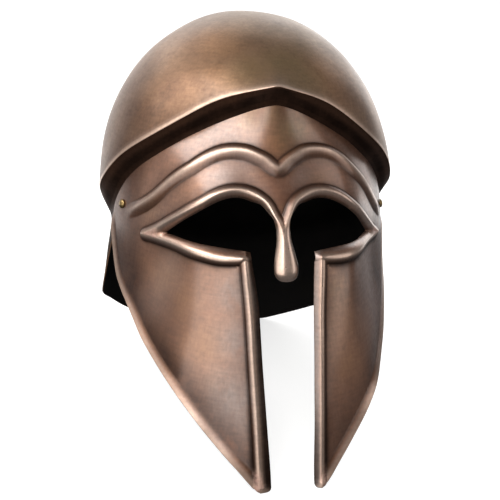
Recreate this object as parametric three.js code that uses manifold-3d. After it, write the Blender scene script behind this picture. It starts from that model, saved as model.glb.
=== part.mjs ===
import * as THREE from 'three';
import Module from 'manifold-3d';

// Open-faced bronze helmet in four pieces: a skull with a pointed, overhanging
// brow lip and a flared neck guard, an embossed face plate set over its sides,
// and two temple rivets. Millimetres, +Z up, the front looks along -Y.
//
// The shapes are worked out in the wearer's frame: x to the wearer's left,
// -y to the front, z up with 0 at the root of the nasal. The finished helmet is
// then leant back onto its cheek tips and the rear of its neck guard.

// ---------------------------------------------------------------- dimensions
const SHEET = 1.3;            // metal thickness of both sheets
const PLATE_GAP = 0.6;        // clearance between face plate and skull
const AXIS_Y = 106.4;         // upright axis that angles and radii are measured round
const MM_PER_DEG = 1.86;      // mean arc length of one degree on the face
const LEAN = 24.2;            // degrees the helmet leans back at rest
const TIP_Z = -160.2;         // lowest point of the cheek tips
const CROWN = { y: 103.1, z: 49.3, halfWidth: 108.2, front: 110.0, rear: 118.0, up: 123.0 };
const RIVET = { phi: 66.8, z: 23.2, head: 3.2, rise: 2.0, shank: 1.3, hole: 1.6, tail: 2.3 };
const BEAD = { height: 2.8, sheetWidth: 4.2, drop: 2.0 };      // rim round the eyes
const FRONT_BEAD = { height: 2.2, sheetWidth: 3.4, drop: 2.0 }; // cheek front edge
const BROW = { height: 2.3, above: 4.2, below: 6.2, fadeFrom: 50, fadeTo: 66 };
const REAR_RIM = { height: 2.2, width: 6.0 };
// Hand-made unevenness: the guards' front edges and the nasal sit a little to
// the wearer's left of the middle.
const OFFSET = { leftGuard: 0.6, rightGuard: 1.6, rightTip: 1.4, nasal: 1.3, leftBrow: 1.7 };

// ------------------------------------------------------------ section tables
// Radius of the face plate's outside: columns are degrees from the front,
// rows are heights.
const FACE = {
  phi: [0, 12, 24, 36, 50, 62, 76, 92],
  rows: [
    { z: 72,   r: [107.5, 102.5, 97.5, 96.0, 96.5, 99.0, 102.5, 105.0] },
    { z: 43,   r: [104.5, 105.0, 106.5, 103.5, 100.5, 100.5, 103.0, 103.0] },
    { z: 14,   r: [108.0, 108.5, 112.0, 106.5, 101.5, 101.6, 102.6, 101.5] },
    { z: -19,  r: [111.5, 112.5, 113.0, 105.5, 99.2, 100.2, 101.2, 100.0] },
    { z: -57,  r: [112.5, 112.5, 112.0, 106.5, 101.0, 100.5, 99.5, 97.5] },
    { z: -104, r: [111.5, 111.0, 110.0, 109.0, 103.0, 101.0, 98.5, 95.5] },
    { z: -158, r: [108.5, 108.5, 107.0, 107.5, 105.5, 102.5, 98.0, 93.0] },
  ],
};
// Radius of the skull's sides and neck guard below the lip.
const NECK = {
  phi: [76, 90, 108, 125, 145, 180],
  rows: [
    { z: 38,  r: [100.6, 101.5, 102.0, 103.0, 105.0, 106.5] },
    { z: 20,  r: [100.2, 100.5, 101.0, 102.5, 105.0, 106.5] },
    { z: 0,   r: [100.4, 103.2, 103.0, 104.0, 107.0, 109.0] },
    { z: -20, r: [99.5, 105.8, 105.0, 106.0, 109.5, 111.5] },
    { z: -40, r: [98.5, 109.5, 107.8, 109.0, 112.5, 114.5] },
    { z: -65, r: [98.0, 115.0, 112.0, 113.0, 116.5, 118.0] },
  ],
};
// Lip of the skull, the fold under it and the free lower edge, round the head.
const LIP = {
  phi: [0, 3, 6, 12, 20, 30, 40, 50, 60, 72, 90, 110, 140, 180],
  r:   [113.2, 112.4, 111.4, 110.0, 108.4, 108.0, 108.5, 109.4, 110.4, 111.2, 109.0, 109.4, 112.6, 114.6],
  z:   [85.6, 84.9, 84.0, 82.2, 79.0, 72.0, 65.0, 59.2, 53.6, 45.0, 40.0, 37.0, 34.0, 33.0],
};
const FOLD = {
  phi: [0, 4.5, 9, 16, 23.5, 31.2, 39.4, 48, 57, 64.5, 72, 80, 90, 108, 125, 145, 180],
  z:   [75.8, 74.6, 73.0, 70.0, 66.0, 61.2, 56.2, 51.4, 46.4, 40.8, 32.5, 26.0, 22.0, 18.0, 16.0, 13.0, 11.0],
};
const EDGE = {
  phi: [0, 50, 57, 61, 64.5, 68, 72, 75.5, 79, 83, 87, 90.5, 93.5, 96.5, 101, 108, 125, 137, 150, 160, 170, 180],
  z:   [64.0, 40.0, 34.0, 24.0, 16.0, 13.5, 13.5, 12.0, 7.5, 0.5, -9.8, -21.0, -30.5, -35.0, -37.2, -39.4, -46.4, -51.2, -56.8, -60.9, -63.7, -64.6],
};
// Outline of one half of the face plate, as [degrees, height] from the centre
// line of the forehead round to the nasal tip.
const OUTLINE = {
  top:   [[0, 75.2], [4.5, 74.0], [9, 72.4], [16, 69.4], [23.5, 65.4], [31.2, 60.6], [39.4, 55.6], [48, 50.8], [57, 45.8], [64.5, 39.6]],
  lobe:  [[64.5, 39.6], [68.5, 34.3], [72.5, 28.5], [75.3, 22.5], [76.5, 16.5]],
  rear:  [[76.5, 16.5], [76.5, 7], [76.1, -3], [75.3, -14], [73.8, -23], [72.6, -27.4]],
  jaw:   [[72.6, -27.4], [69, -36], [65, -45], [60.5, -55], [56, -65.2], [50.4, -76.4], [44.7, -86.4], [39.4, -95.6], [35.0, -104.6], [31.8, -111.8], [28.9, -119], [26.0, -126], [22.8, -133.4], [19.7, -140.2], [16.5, -147], [13.5, -153.8], [11.7, -157.7]],
  tip:   [[11.7, -157.7], [10.7, -159.6], [9.4, TIP_Z], [8.1, -159.6], [7.55, -157.7]],
  front: [[7.55, -157.7], [7.6, -150], [7.85, -135], [8.3, -105], [8.6, -80], [8.85, -58], [9.25, -41], [9.9, -25], [10.4, -16.6]],
  low:   [[10.4, -16.6], [13.5, -15.3], [16.5, -14.2], [20, -12.9], [23.4, -11.5], [27, -9.7], [31, -7.3], [36, -4.0], [41.6, -0.5]],
  high:  [[41.6, -0.5], [36, 2.9], [31, 6.1], [27, 8.9], [23.5, 11.9], [20.5, 14.5], [17.5, 16.4], [15, 17.0], [12, 16.2], [9, 14.0], [6.8, 12.4], [5.2, 9], [4.0, 6], [3.0, 2.3], [2.6, -2.4]],
  nasal: [[2.6, -2.4], [2.65, -8], [3.1, -14], [3.7, -20], [4.15, -26], [4.1, -29.5], [3.5, -33], [2.1, -35.2], [0, -35.9]],
};
// Crests of the embossed beads and of the brow ridge, as [degrees, height].
const CREST = {
  high:  [[53.2, 0.1], [48.8, 1.3], [43, 3.7], [38.3, 6.2], [33, 9.2], [29, 12], [25.8, 14.4], [23, 17.2], [19.8, 20.0], [16.6, 21.6], [13.5, 21.8], [10.1, 20.4], [6.9, 17.2], [5.1, 14.2], [3.8, 10.5], [2.8, 6], [1.7, 2], [0.6, -3], [0.1, -7], [0, -12], [0, -28]],
  low:   [[53.2, 0.1], [48.9, -2.0], [43.5, -4.9], [38.3, -8.0], [33, -11.9], [28.6, -15.4], [24.6, -18], [20.5, -20.2], [16.7, -20.9], [13.8, -21], [12.3, -21.1]],
  front: [[12.3, -21.1], [11.9, -35], [11.5, -48], [11.1, -72], [10.7, -103], [10.3, -133], [10.1, -150], [9.9, -157]],
  brow:  [[0, 33.2], [1.2, 34.8], [2.6, 37.4], [4.3, 40.8], [6.2, 43.5], [9, 46], [12, 47.6], [15.5, 48.2], [19.2, 47.6], [22.8, 45.5], [26.5, 42.3], [29.5, 39.3], [33.6, 36.1], [37.9, 32.5], [42.8, 27.8], [47.7, 23.5], [53.5, 20.5], [60, 18.5], [66, 17.8]],
};

// ------------------------------------------------------------------- helpers
const rad = d => d * Math.PI / 180;
const clamp = (v, a, b) => Math.max(a, Math.min(b, v));
const ease = t => { t = clamp(t, 0, 1); return t * t * (3 - 2 * t); };

// Natural cubic through (xs, ys), straight beyond both ends.
function cubic(xs, ys) {
  const n = xs.length, h = [], m = new Array(n).fill(0), c = new Array(n).fill(0), d = new Array(n).fill(0);
  for (let i = 0; i < n - 1; i++) h.push(xs[i + 1] - xs[i]);
  for (let i = 1; i < n - 1; i++) {
    const a = h[i - 1], b = 2 * (h[i - 1] + h[i]);
    const rhs = 6 * ((ys[i + 1] - ys[i]) / h[i] - (ys[i] - ys[i - 1]) / h[i - 1]);
    const w = b - a * c[i - 1];
    c[i] = h[i] / w;
    d[i] = (rhs - a * d[i - 1]) / w;
  }
  for (let i = n - 2; i > 0; i--) m[i] = d[i] - c[i] * m[i + 1];
  return x => {
    if (x <= xs[0]) return ys[0] + (x - xs[0]) * ((ys[1] - ys[0]) / h[0] - h[0] * m[1] / 6);
    if (x >= xs[n - 1]) return ys[n - 1] + (x - xs[n - 1]) * ((ys[n - 1] - ys[n - 2]) / h[n - 2] + h[n - 2] * m[n - 2] / 6);
    let i = 0;
    while (x > xs[i + 1]) i++;
    const t = x - xs[i];
    const s = (ys[i + 1] - ys[i]) / h[i] - h[i] * (2 * m[i] + m[i + 1]) / 6;
    return ys[i] + t * (s + t * (m[i] / 2 + t * (m[i + 1] - m[i]) / (6 * h[i])));
  };
}
// Radius over (degrees, height) from one of the tables; mirrored at ends asked for.
function surface(table, mirrorStart, mirrorEnd) {
  const rows = [...table.rows].sort((a, b) => a.z - b.z);
  const cols = table.phi.map((_, i) => cubic(rows.map(q => q.z), rows.map(q => q.r[i])));
  return (phi, z) => {
    const v = cols.map(f => f(z));
    let xs = [...table.phi], ys = [...v];
    const last = table.phi.length - 1;
    if (mirrorStart) {
      xs = [...table.phi.slice(1).reverse().map(p => -p), ...xs];
      ys = [...v.slice(1).reverse(), ...ys];
    }
    if (mirrorEnd) {
      xs = [...xs, ...table.phi.slice(0, last).reverse().map(p => 2 * table.phi[last] - p)];
      ys = [...ys, ...v.slice(0, last).reverse()];
    }
    return cubic(xs, ys)(Math.abs(phi));
  };
}
// Values round the head from a table with one row per angle, mirrored front and rear.
function round(phi, values) {
  const last = phi.length - 1;
  const xs = [...phi.slice(1).reverse().map(p => -p), ...phi, ...phi.slice(0, last).reverse().map(p => 360 - p)];
  const ys = [...values.slice(1).reverse(), ...values, ...values.slice(0, last).reverse()];
  return cubic(xs, ys);
}
// Straight-line table lookup, for edges with corners.
function lookup(phi, values) {
  return x => {
    let i = 0;
    while (i < phi.length - 2 && x > phi[i + 1]) i++;
    const t = clamp((x - phi[i]) / (phi[i + 1] - phi[i]), 0, 1);
    return values[i] + t * (values[i + 1] - values[i]);
  };
}
const flat = p => [p[0] * MM_PER_DEG, p[1]];
// Smooth curve through table points, cut into nearly equal steps.
function along(points, step) {
  const p = points.map(flat), t = [0];
  for (let i = 1; i < p.length; i++) t.push(t[i - 1] + Math.hypot(p[i][0] - p[i - 1][0], p[i][1] - p[i - 1][1]));
  const fx = cubic(t, p.map(q => q[0])), fy = cubic(t, p.map(q => q[1]));
  const n = Math.max(1, Math.round(t[t.length - 1] / step)), out = [];
  for (let i = 0; i <= n; i++) out.push([fx(t[t.length - 1] * i / n), fy(t[t.length - 1] * i / n)]);
  return out;
}
// Distance from a point to a polyline; side is positive to the left of its run.
function distance(p, line) {
  let best = 1e9, side = 0;
  for (let i = 0; i < line.length - 1; i++) {
    const ax = line[i][0], ay = line[i][1], bx = line[i + 1][0] - ax, by = line[i + 1][1] - ay;
    const t = clamp(((p[0] - ax) * bx + (p[1] - ay) * by) / (bx * bx + by * by), 0, 1);
    const dx = p[0] - ax - t * bx, dy = p[1] - ay - t * by, q = Math.hypot(dx, dy);
    if (q < best) { best = q; side = Math.sign(bx * (p[1] - ay) - by * (p[0] - ax)); }
  }
  return { d: best, side };
}
function inside(p, loop) {
  let hit = false;
  for (let i = 0, j = loop.length - 1; i < loop.length; j = i++) {
    const a = loop[i], b = loop[j];
    if ((a[1] > p[1]) !== (b[1] > p[1]) && p[0] < (b[0] - a[0]) * (p[1] - a[1]) / (b[1] - a[1]) + a[0]) hit = !hit;
  }
  return hit;
}
// Triangles of a point set, none holding another point inside its circle.
function triangulate(points) {
  const n = points.length, big = 5000;
  const P = points.map((p, i) => [p[0] + 1e-5 * Math.sin(i * 12.9898), p[1] + 1e-5 * Math.sin(i * 78.233)]);
  P.push([-big, -big], [big, -big], [0, big]);
  const circle = (a, b, c) => {
    const [ax, ay] = P[a], bx = P[b][0] - ax, by = P[b][1] - ay, cx = P[c][0] - ax, cy = P[c][1] - ay;
    const d = 2 * (bx * cy - by * cx), b2 = bx * bx + by * by, c2 = cx * cx + cy * cy;
    const ux = (cy * b2 - by * c2) / d, uy = (bx * c2 - cx * b2) / d;
    return { v: [a, b, c], x: ax + ux, y: ay + uy, r2: ux * ux + uy * uy };
  };
  let tris = [circle(n, n + 1, n + 2)];
  for (let i = 0; i < n; i++) {
    const open = new Map(), keep = [];
    for (const t of tris) {
      if ((P[i][0] - t.x) ** 2 + (P[i][1] - t.y) ** 2 >= t.r2) { keep.push(t); continue; }
      for (let k = 0; k < 3; k++) {
        const a = t.v[k], b = t.v[(k + 1) % 3], back = b + '_' + a;
        if (open.has(back)) open.delete(back); else open.set(a + '_' + b, [a, b]);
      }
    }
    for (const [a, b] of open.values()) keep.push(circle(a, b, i));
    tris = keep;
  }
  return tris.map(t => t.v).filter(v => v.every(k => k < n));
}

// ------------------------------------------------------------- face surface
const faceRadius = surface(FACE, true, false);
const fine = { };
for (const k of Object.keys(CREST)) fine[k] = along(CREST[k], 1.5);
for (const k of Object.keys(OUTLINE)) fine['edge_' + k] = along(OUTLINE[k], 1.5);
const rearLine = [...fine.edge_lobe, ...fine.edge_rear, ...fine.edge_jaw, ...fine.edge_tip.slice(0, 3)];
const eyeFree = [...fine.edge_low, ...fine.edge_high, ...fine.edge_nasal];

// Height of the embossing above the plain face at [arc, height], one half.
function emboss(p) {
  const eye = Math.min(distance(p, fine.high).d, distance(p, fine.low).d);
  const eyeOpen = distance(p, eyeFree).d;
  const front = distance(p, fine.front).d, frontOpen = distance(p, fine.edge_front).d;
  const bead = (q, free, openSide, kind) => {
    if (openSide) {
      const u = q / Math.max(q + free, 1e-6);
      return kind.height - (kind.height + kind.drop) * u ** 1.8;
    }
    const t = q / kind.sheetWidth;
    return t < 1 ? kind.height * (1 - t * t) ** 0.8 : 0;
  };
  const openEye = inside(p, eyeRegion), openFront = inside(p, frontRegion);
  const hEye = bead(eye, eyeOpen, openEye, BEAD), hFront = bead(front, frontOpen, openFront, FRONT_BEAD);
  const w = ease((eye - front) / 5 + 0.5);
  let h = hEye + (hFront - hEye) * w;
  // brow ridge: crisp above its crest, a long fall below
  const brow = distance(p, fine.brow);
  const fade = 1 - ease((p[0] / MM_PER_DEG - BROW.fadeFrom) / (BROW.fadeTo - BROW.fadeFrom));
  const t = brow.d / (brow.side > 0 ? BROW.above : BROW.below);
  if (t < 1) h += BROW.height * fade * (brow.side > 0 ? (1 - t * t) ** 0.8 : (1 - t) * (1 + 0.9 * t));
  // rolled rim down the rear edge, from the temple to the tip
  const rear = distance(p, rearLine).d / REAR_RIM.width;
  if (rear < 1) h += REAR_RIM.height * (1 - rear) ** 1.3 * ease((22 - p[1]) / 14);
  return h;
}
// Regions between the crests and the free edges, where the metal is bent inward.
const eyeRegion = [...fine.low.slice().reverse(), ...fine.high, [-0.01, -28], [-0.01, -80], flat([12, -80])];
const frontRegion = [...fine.front, flat([9.9, -170]), [0, -170], [0, -10], flat([12.3, -10])];
// Sideways shift of a point of one half, side +1 for the wearer's left.
const crestOf = cubic(CREST.front.map(p => -p[1]), CREST.front.map(p => p[0] * MM_PER_DEG));
const edgeOf = cubic(OUTLINE.front.map(p => -p[1]).reverse(), OUTLINE.front.map(p => p[0] * MM_PER_DEG).reverse());
function uneven(p, side) {
  const nasal = p[0] < 12 ? OFFSET.nasal * ease((6 - p[1]) / 34) ** 0.5 : 0;
  if (p[0] < 12 && p[1] > -37) return side * p[0] + nasal;
  if (p[1] > -16) return side * p[0];
  const c = crestOf(-p[1]), e = edgeOf(-p[1]);
  const w = clamp((c - p[0]) / (c - e), 0, 1) * ease((-16 - p[1]) / 40);
  const guard = side > 0 ? OFFSET.leftGuard : OFFSET.rightGuard + OFFSET.rightTip * ease((-60 - p[1]) / 100);
  return side * p[0] + guard * w;
}
// The left brow arch was hammered a little higher than the right.
function raised(p, side) {
  if (side < 0) return p[1];
  return p[1] + OFFSET.leftBrow * Math.exp(-(((p[1] - 44) / 11) ** 2)) * ease((p[0] - 4) / 14) * ease((80 - p[0]) / 30);
}

// Point of the face in the wearer's frame.
function facePoint(p, lift) {
  const phi = p[0] / MM_PER_DEG, r = faceRadius(phi, p[1]) + lift;
  return new THREE.Vector3(r * Math.sin(rad(phi)), AXIS_Y - r * Math.cos(rad(phi)), p[1]);
}

// ------------------------------------------------------------- solid makers
// Closed solid from an outer skin of triangles: the skin is copied inward along
// its normals by the thickness, and the open edges are walled.
function thicken(points, faces, thickness) {
  const normals = points.map(() => new THREE.Vector3());
  const e1 = new THREE.Vector3(), e2 = new THREE.Vector3();
  for (const [a, b, c] of faces) {
    e1.subVectors(points[b], points[a]); e2.subVectors(points[c], points[a]);
    const n = e1.clone().cross(e2);
    for (const k of [a, b, c]) normals[k].add(n);
  }
  const inner = points.map((p, i) => grounded(p.clone().addScaledVector(normals[i].normalize(), -thickness)));
  const N = points.length, all = [...points, ...inner], tris = [...faces];
  const edges = new Map();
  for (const [a, b, c] of faces) {
    tris.push([a + N, c + N, b + N]);
    for (const [u, v] of [[a, b], [b, c], [c, a]]) {
      if (edges.has(v + '_' + u)) edges.delete(v + '_' + u); else edges.set(u + '_' + v, [u, v]);
    }
  }
  for (const [u, v] of edges.values()) tris.push([v, u, u + N], [v, u + N, v + N]);
  return { points: all, faces: tris };
}
function lathe(profile, segments) {
  const points = [], faces = [];
  profile.forEach(([r, z]) => {
    for (let i = 0; i < segments; i++) {
      const a = 2 * Math.PI * i / segments;
      points.push(new THREE.Vector3(r * Math.cos(a), r * Math.sin(a), z));
    }
  });
  const at = (row, i) => row * segments + (i % segments);
  for (let row = 0; row < profile.length - 1; row++) for (let i = 0; i < segments; i++) {
    faces.push([at(row, i), at(row, i + 1), at(row + 1, i + 1)], [at(row, i), at(row + 1, i + 1), at(row + 1, i)]);
  }
  const low = points.length, high = low + 1;
  points.push(new THREE.Vector3(0, 0, profile[0][1]), new THREE.Vector3(0, 0, profile[profile.length - 1][1]));
  for (let i = 0; i < segments; i++) {
    faces.push([low, at(0, i + 1), at(0, i)], [high, at(profile.length - 1, i), at(profile.length - 1, i + 1)]);
  }
  return { points, faces };
}

// ------------------------------------------------------------------ the rest pose
// Lean back about the x axis, then set the cheek tips and neck guard on z = 0.
const lean = new THREE.Matrix4().makeRotationX(-rad(LEAN));
const tipPoint = facePoint(flat([9.3, TIP_Z]), 0).applyMatrix4(lean);
const FLOOR = tipPoint.z + 0.7;
// Whatever would reach below the floor is ground flat on it.
function grounded(v) {
  const below = FLOOR - v.clone().applyMatrix4(lean).z;
  if (below > 0) v.z += below / Math.cos(rad(LEAN));
  return v;
}

// ---------------------------------------------------------------- face plate
function buildFacePlate() {
  const step = { top: 9, lobe: 6, rear: 8, jaw: 8.5, tip: 2.4, front: 9, low: 6, high: 5, nasal: 3.6 };
  let loop = [];
  for (const k of Object.keys(OUTLINE)) loop.push(...along(OUTLINE[k], step[k]).slice(0, -1));
  loop.push(flat([0, -35.9]));
  for (let z = -30; z < 72; z += 6) loop.push([0, z]);
  const points = loop.map(p => [...p]);
  const far = (p, gap) => points.every(q => Math.hypot(p[0] - q[0], p[1] - q[1]) > gap);
  const add = (p, gap) => { if (inside(p, loop) && p[0] > 0.8 && far(p, gap)) points.push(p); };
  // rows of points along every crest and crease
  const rows = [
    { line: CREST.high, step: 5, off: [0, -BEAD.sheetWidth], gap: 1.7 },
    { line: CREST.low, step: 6, off: [0, BEAD.sheetWidth], gap: 1.7 },
    { line: CREST.front, step: 9, off: [0, FRONT_BEAD.sheetWidth], gap: 1.7 },
    { line: CREST.brow, step: 6, off: [0, BROW.above, -BROW.below], gap: 2.4 },
  ];
  for (const row of rows) {
    const line = along(row.line, row.step), ref = along(row.line, 1.5);
    for (const off of row.off) line.forEach((p, i) => {
      const a = line[Math.max(0, i - 1)], b = line[Math.min(line.length - 1, i + 1)];
      const l = Math.hypot(b[0] - a[0], b[1] - a[1]);
      const q = [p[0] - off * (b[1] - a[1]) / l, p[1] + off * (b[0] - a[0]) / l];
      if (distance(q, ref).d > Math.abs(off) * 0.93 - 0.01) add(q, row.gap);
    });
  }
  const rear = [...along(OUTLINE.rear, 9), ...along(OUTLINE.jaw, 9).slice(1)];
  rear.forEach((p, i) => {
    const a = rear[Math.max(0, i - 1)], b = rear[Math.min(rear.length - 1, i + 1)];
    const l = Math.hypot(b[0] - a[0], b[1] - a[1]), off = -REAR_RIM.width;
    add([p[0] - off * (b[1] - a[1]) / l, p[1] + off * (b[0] - a[0]) / l], 3.2);
  });
  const pitch = 11.5;
  for (let j = 0, z = -158; z < 76; z += pitch * 0.866, j++) {
    for (let s = (j % 2 ? 0.5 : 1) * pitch; s < 150; s += pitch) add([s, z], 6.6);
  }
  // split outline edges until every one is an edge of the triangulation
  let faces;
  for (let pass = 0; pass < 8; pass++) {
    faces = triangulate(points);
    const have = new Set();
    for (const f of faces) for (let k = 0; k < 3; k++) { have.add(f[k] + '_' + f[(k + 1) % 3]); have.add(f[(k + 1) % 3] + '_' + f[k]); }
    const index = loop.map(p => points.findIndex(q => q[0] === p[0] && q[1] === p[1]));
    const next = [];
    let missing = 0;
    index.forEach((a, i) => {
      next.push(loop[i]);
      const b = index[(i + 1) % index.length];
      if (!have.has(a + '_' + b)) {
        missing++;
        const m = [(points[a][0] + points[b][0]) / 2, (points[a][1] + points[b][1]) / 2];
        points.push(m); next.push(m);
      }
    });
    if (!missing) break;
    loop = next;
  }
  faces = faces.filter(f => inside([0, 1].map(k => (points[f[0]][k] + points[f[1]][k] + points[f[2]][k]) / 3), loop));
  // both halves share the centre line
  const skin = [], right = [], left = [];
  points.forEach(p => {
    const lift = emboss(p);
    const put = side => {
      return skin.push(grounded(facePoint([uneven(p, side), raised(p, side)], lift))) - 1;
    };
    right.push(put(1));
    left.push(p[0] < 1e-6 ? right[right.length - 1] : put(-1));
  });
  const all = [];
  for (const f of faces) {
    const [a, b, c] = f.map(k => points[k]);
    const ccw = (b[0] - a[0]) * (c[1] - a[1]) - (b[1] - a[1]) * (c[0] - a[0]) > 0 ? f : [f[0], f[2], f[1]];
    all.push(ccw.map(k => right[k]), [left[ccw[0]], left[ccw[2]], left[ccw[1]]]);
  }
  return thicken(skin, all, SHEET);
}

// --------------------------------------------------------------------- skull
const neckRadius = surface(NECK, false, true);
const lipRadius = round(LIP.phi, LIP.r), lipHeight = round(LIP.phi, LIP.z);
const foldHeight = round(FOLD.phi, FOLD.z), edgeHeight = lookup(EDGE.phi, EDGE.z);
// Outside radius of the skull below its fold: behind the plate at the front.
function wallRadius(phi, z) {
  const behind = faceRadius(Math.min(phi, 80), z) - SHEET - PLATE_GAP;
  return behind + (neckRadius(Math.max(phi, 76), z) - behind) * ease((phi - 62) / 16);
}
const around = (r, phi, z) => new THREE.Vector3(r * Math.sin(rad(phi)), AXIS_Y - r * Math.cos(rad(phi)), z);

function skullColumn(phi) {
  const lip = around(lipRadius(phi), phi, lipHeight(phi));
  const turn = Math.atan2(lip.x, CROWN.y - lip.y);
  const depth = Math.cos(turn) > 0 ? CROWN.front : CROWN.rear;
  const reach = 1 / Math.hypot(Math.sin(turn) / CROWN.halfWidth, Math.cos(turn) / depth);
  const lipReach = Math.hypot(lip.x, lip.y - CROWN.y);
  const last = Math.acos((lip.z - CROWN.z) / CROWN.up);
  const flare = lipReach - reach * Math.sin(last);
  const soft = 1.6 + 7 * ease((phi - 74) / 46);            // half length of the lip's rounding
  const column = [];
  const dome = psi => {
    const w = clamp(1 - (last - psi) * reach / 26, 0, 1) ** 2;
    const rho = reach * Math.sin(psi) + flare * w;
    return new THREE.Vector3(rho * Math.sin(turn), CROWN.y - rho * Math.cos(turn), CROWN.z + CROWN.up * Math.cos(psi));
  };
  const ring = 9;
  for (let i = 1; i <= ring; i++) {
    const t = i / ring;
    column.push(dome((last - soft / reach) * (t < 0.8 ? t * 1.06 : 0.848 + (t - 0.8) * 0.76)));
  }
  const z = foldHeight(phi), covered = 1 - ease((phi - 64) / 14);
  const fold = around(wallRadius(phi, z) + 0.4 + 2.0 * covered, phi, z + 0.9 + 1.6 * (1 - covered));
  const below = lip.clone().lerp(fold, clamp(soft / lip.distanceTo(fold), 0, 0.45));
  column.push(column[ring - 1].clone().add(below).multiplyScalar(0.25).addScaledVector(lip, 0.5));
  column.push(below, below.clone().lerp(fold, 0.5), fold);
  const edge = edgeHeight(phi), lower = 4;
  for (let i = 0; i <= lower; i++) {
    const zi = z - 0.7 + (edge - z + 0.7) * i / lower;
    column.push(grounded(around(wallRadius(phi, zi), phi, zi)));
  }
  return column;
}

function buildSkull() {
  const half = [0, 5, 10, 16, 22, 28, 34, 40, 46, 52, 57, 61, 64.5, 68, 72, 75.5, 79, 83, 87, 90.5, 93.5, 96.5, 101, 107, 114, 123, 132, 141, 150, 157, 163, 168, 174, 180];
  const right = half.map(skullColumn);
  const mirror = c => c.map(p => new THREE.Vector3(-p.x, p.y, p.z));
  const columns = [...right, ...right.slice(1, -1).reverse().map(mirror)];
  for (const k of [0, half.length - 1]) columns[k].forEach(p => { p.x = 0; });
  const rows = columns[0].length, n = columns.length, points = [], faces = [];
  columns.forEach(c => points.push(...c));
  const at = (i, j) => (i % n) * rows + j;
  const top = points.push(new THREE.Vector3(0, CROWN.y, CROWN.z + CROWN.up)) - 1;
  for (let i = 0; i < n; i++) {
    faces.push([top, at(i, 0), at(i + 1, 0)]);
    for (let j = 0; j < rows - 1; j++) faces.push([at(i, j), at(i, j + 1), at(i + 1, j + 1)], [at(i, j), at(i + 1, j + 1), at(i + 1, j)]);
  }
  return thicken(points, faces, SHEET);
}

// -------------------------------------------------------------------- rivets
// Axis of a rivet: square to the face plate at the temple.
function rivetFrame(side) {
  const p = flat([RIVET.phi, RIVET.z]), e = 2;
  const o = facePoint(p, emboss(p));
  const u = facePoint([p[0] + e, p[1]], emboss([p[0] + e, p[1]])).sub(o);
  const v = facePoint([p[0], p[1] + e], emboss([p[0], p[1] + e])).sub(o);
  const n = u.clone().cross(v).normalize();
  const x = u.normalize(), y = n.clone().cross(x);
  const m = new THREE.Matrix4().makeBasis(x, y, n).setPosition(o);
  return side < 0 ? new THREE.Matrix4().makeScale(-1, 1, 1).multiply(m) : m;
}
function placed(shape, matrix) {
  const flip = matrix.determinant() < 0;
  return {
    points: shape.points.map(p => p.clone().applyMatrix4(matrix)),
    faces: shape.faces.map(f => (flip ? [f[0], f[2], f[1]] : f)),
  };
}
function buildRivet(side) {
  const { head, rise, shank, tail } = RIVET, through = 2 * SHEET + PLATE_GAP;
  const profile = [];
  const under = -through - 1.6;
  profile.push([tail * 0.55, under - 1.0], [tail * 0.9, under - 0.65], [tail, under], [shank, under]);
  profile.push([shank, 0.35], [head, 0.35]);
  for (let i = 1; i <= 3; i++) {
    const a = Math.PI / 2 * i / 3.6;
    profile.push([head * Math.cos(a), 0.35 + rise * Math.sin(a)]);
  }
  return placed(lathe(profile, 16), rivetFrame(side));
}
const cutter = side => placed(lathe([[RIVET.hole, -12], [RIVET.hole, 9]], 16), rivetFrame(side));

// ------------------------------------------------------------------ assembly
const wasm = await Module();
wasm.setup();
const solid = shape => new wasm.Manifold(new wasm.Mesh({
  numProp: 3,
  vertProperties: new Float32Array(shape.points.flatMap(p => [p.x, p.y, p.z])),
  triVerts: new Uint32Array(shape.faces.flat()),
}));
function drilled(shape) {
  const cut = solid(shape).subtract(solid(cutter(1))).subtract(solid(cutter(-1))).getMesh();
  const v = cut.vertProperties, n = cut.numProp, points = [];
  for (let i = 0; i < v.length; i += n) points.push(new THREE.Vector3(v[i], v[i + 1], v[i + 2]));
  const faces = [];
  for (let i = 0; i < cut.triVerts.length; i += 3) faces.push([cut.triVerts[i], cut.triVerts[i + 1], cut.triVerts[i + 2]]);
  return { points, faces };
}
const shapes = {
  skull: drilled(buildSkull()),
  face_plate: drilled(buildFacePlate()),
  rivet_right: buildRivet(-1),
  rivet_left: buildRivet(1),
};
// rest pose with the middle of the footprint at the origin
const box = new THREE.Box3();
for (const s of Object.values(shapes)) s.points.forEach(p => { p.applyMatrix4(lean); box.expandByPoint(p); });
const shift = new THREE.Vector3(0, -(box.min.y + box.max.y) / 2, -box.min.z);
function mesh(name, shape, colour, roughness) {
  const g = new THREE.BufferGeometry();
  g.setAttribute('position', new THREE.Float32BufferAttribute(shape.points.flatMap(p => p.clone().add(shift).toArray()), 3));
  g.setIndex(shape.faces.flat());
  g.computeVertexNormals();
  const m = new THREE.Mesh(g, new THREE.MeshStandardMaterial({ color: colour, metalness: 1, roughness, flatShading: true }));
  m.name = name;
  return m;
}
const helmet = new THREE.Group();
helmet.name = 'helmet';
helmet.add(mesh('skull', shapes.skull, 0x6e5138, 0.42));
helmet.add(mesh('face_plate', shapes.face_plate, 0x7d5c42, 0.38));
helmet.add(mesh('rivet_right', shapes.rivet_right, 0x9c8040, 0.35));
helmet.add(mesh('rivet_left', shapes.rivet_left, 0x9c8040, 0.35));
export default helmet;
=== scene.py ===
import math

import bpy
import numpy as np
from mathutils import Matrix, Vector
from mathutils.geometry import delaunay_2d_cdt


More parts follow.
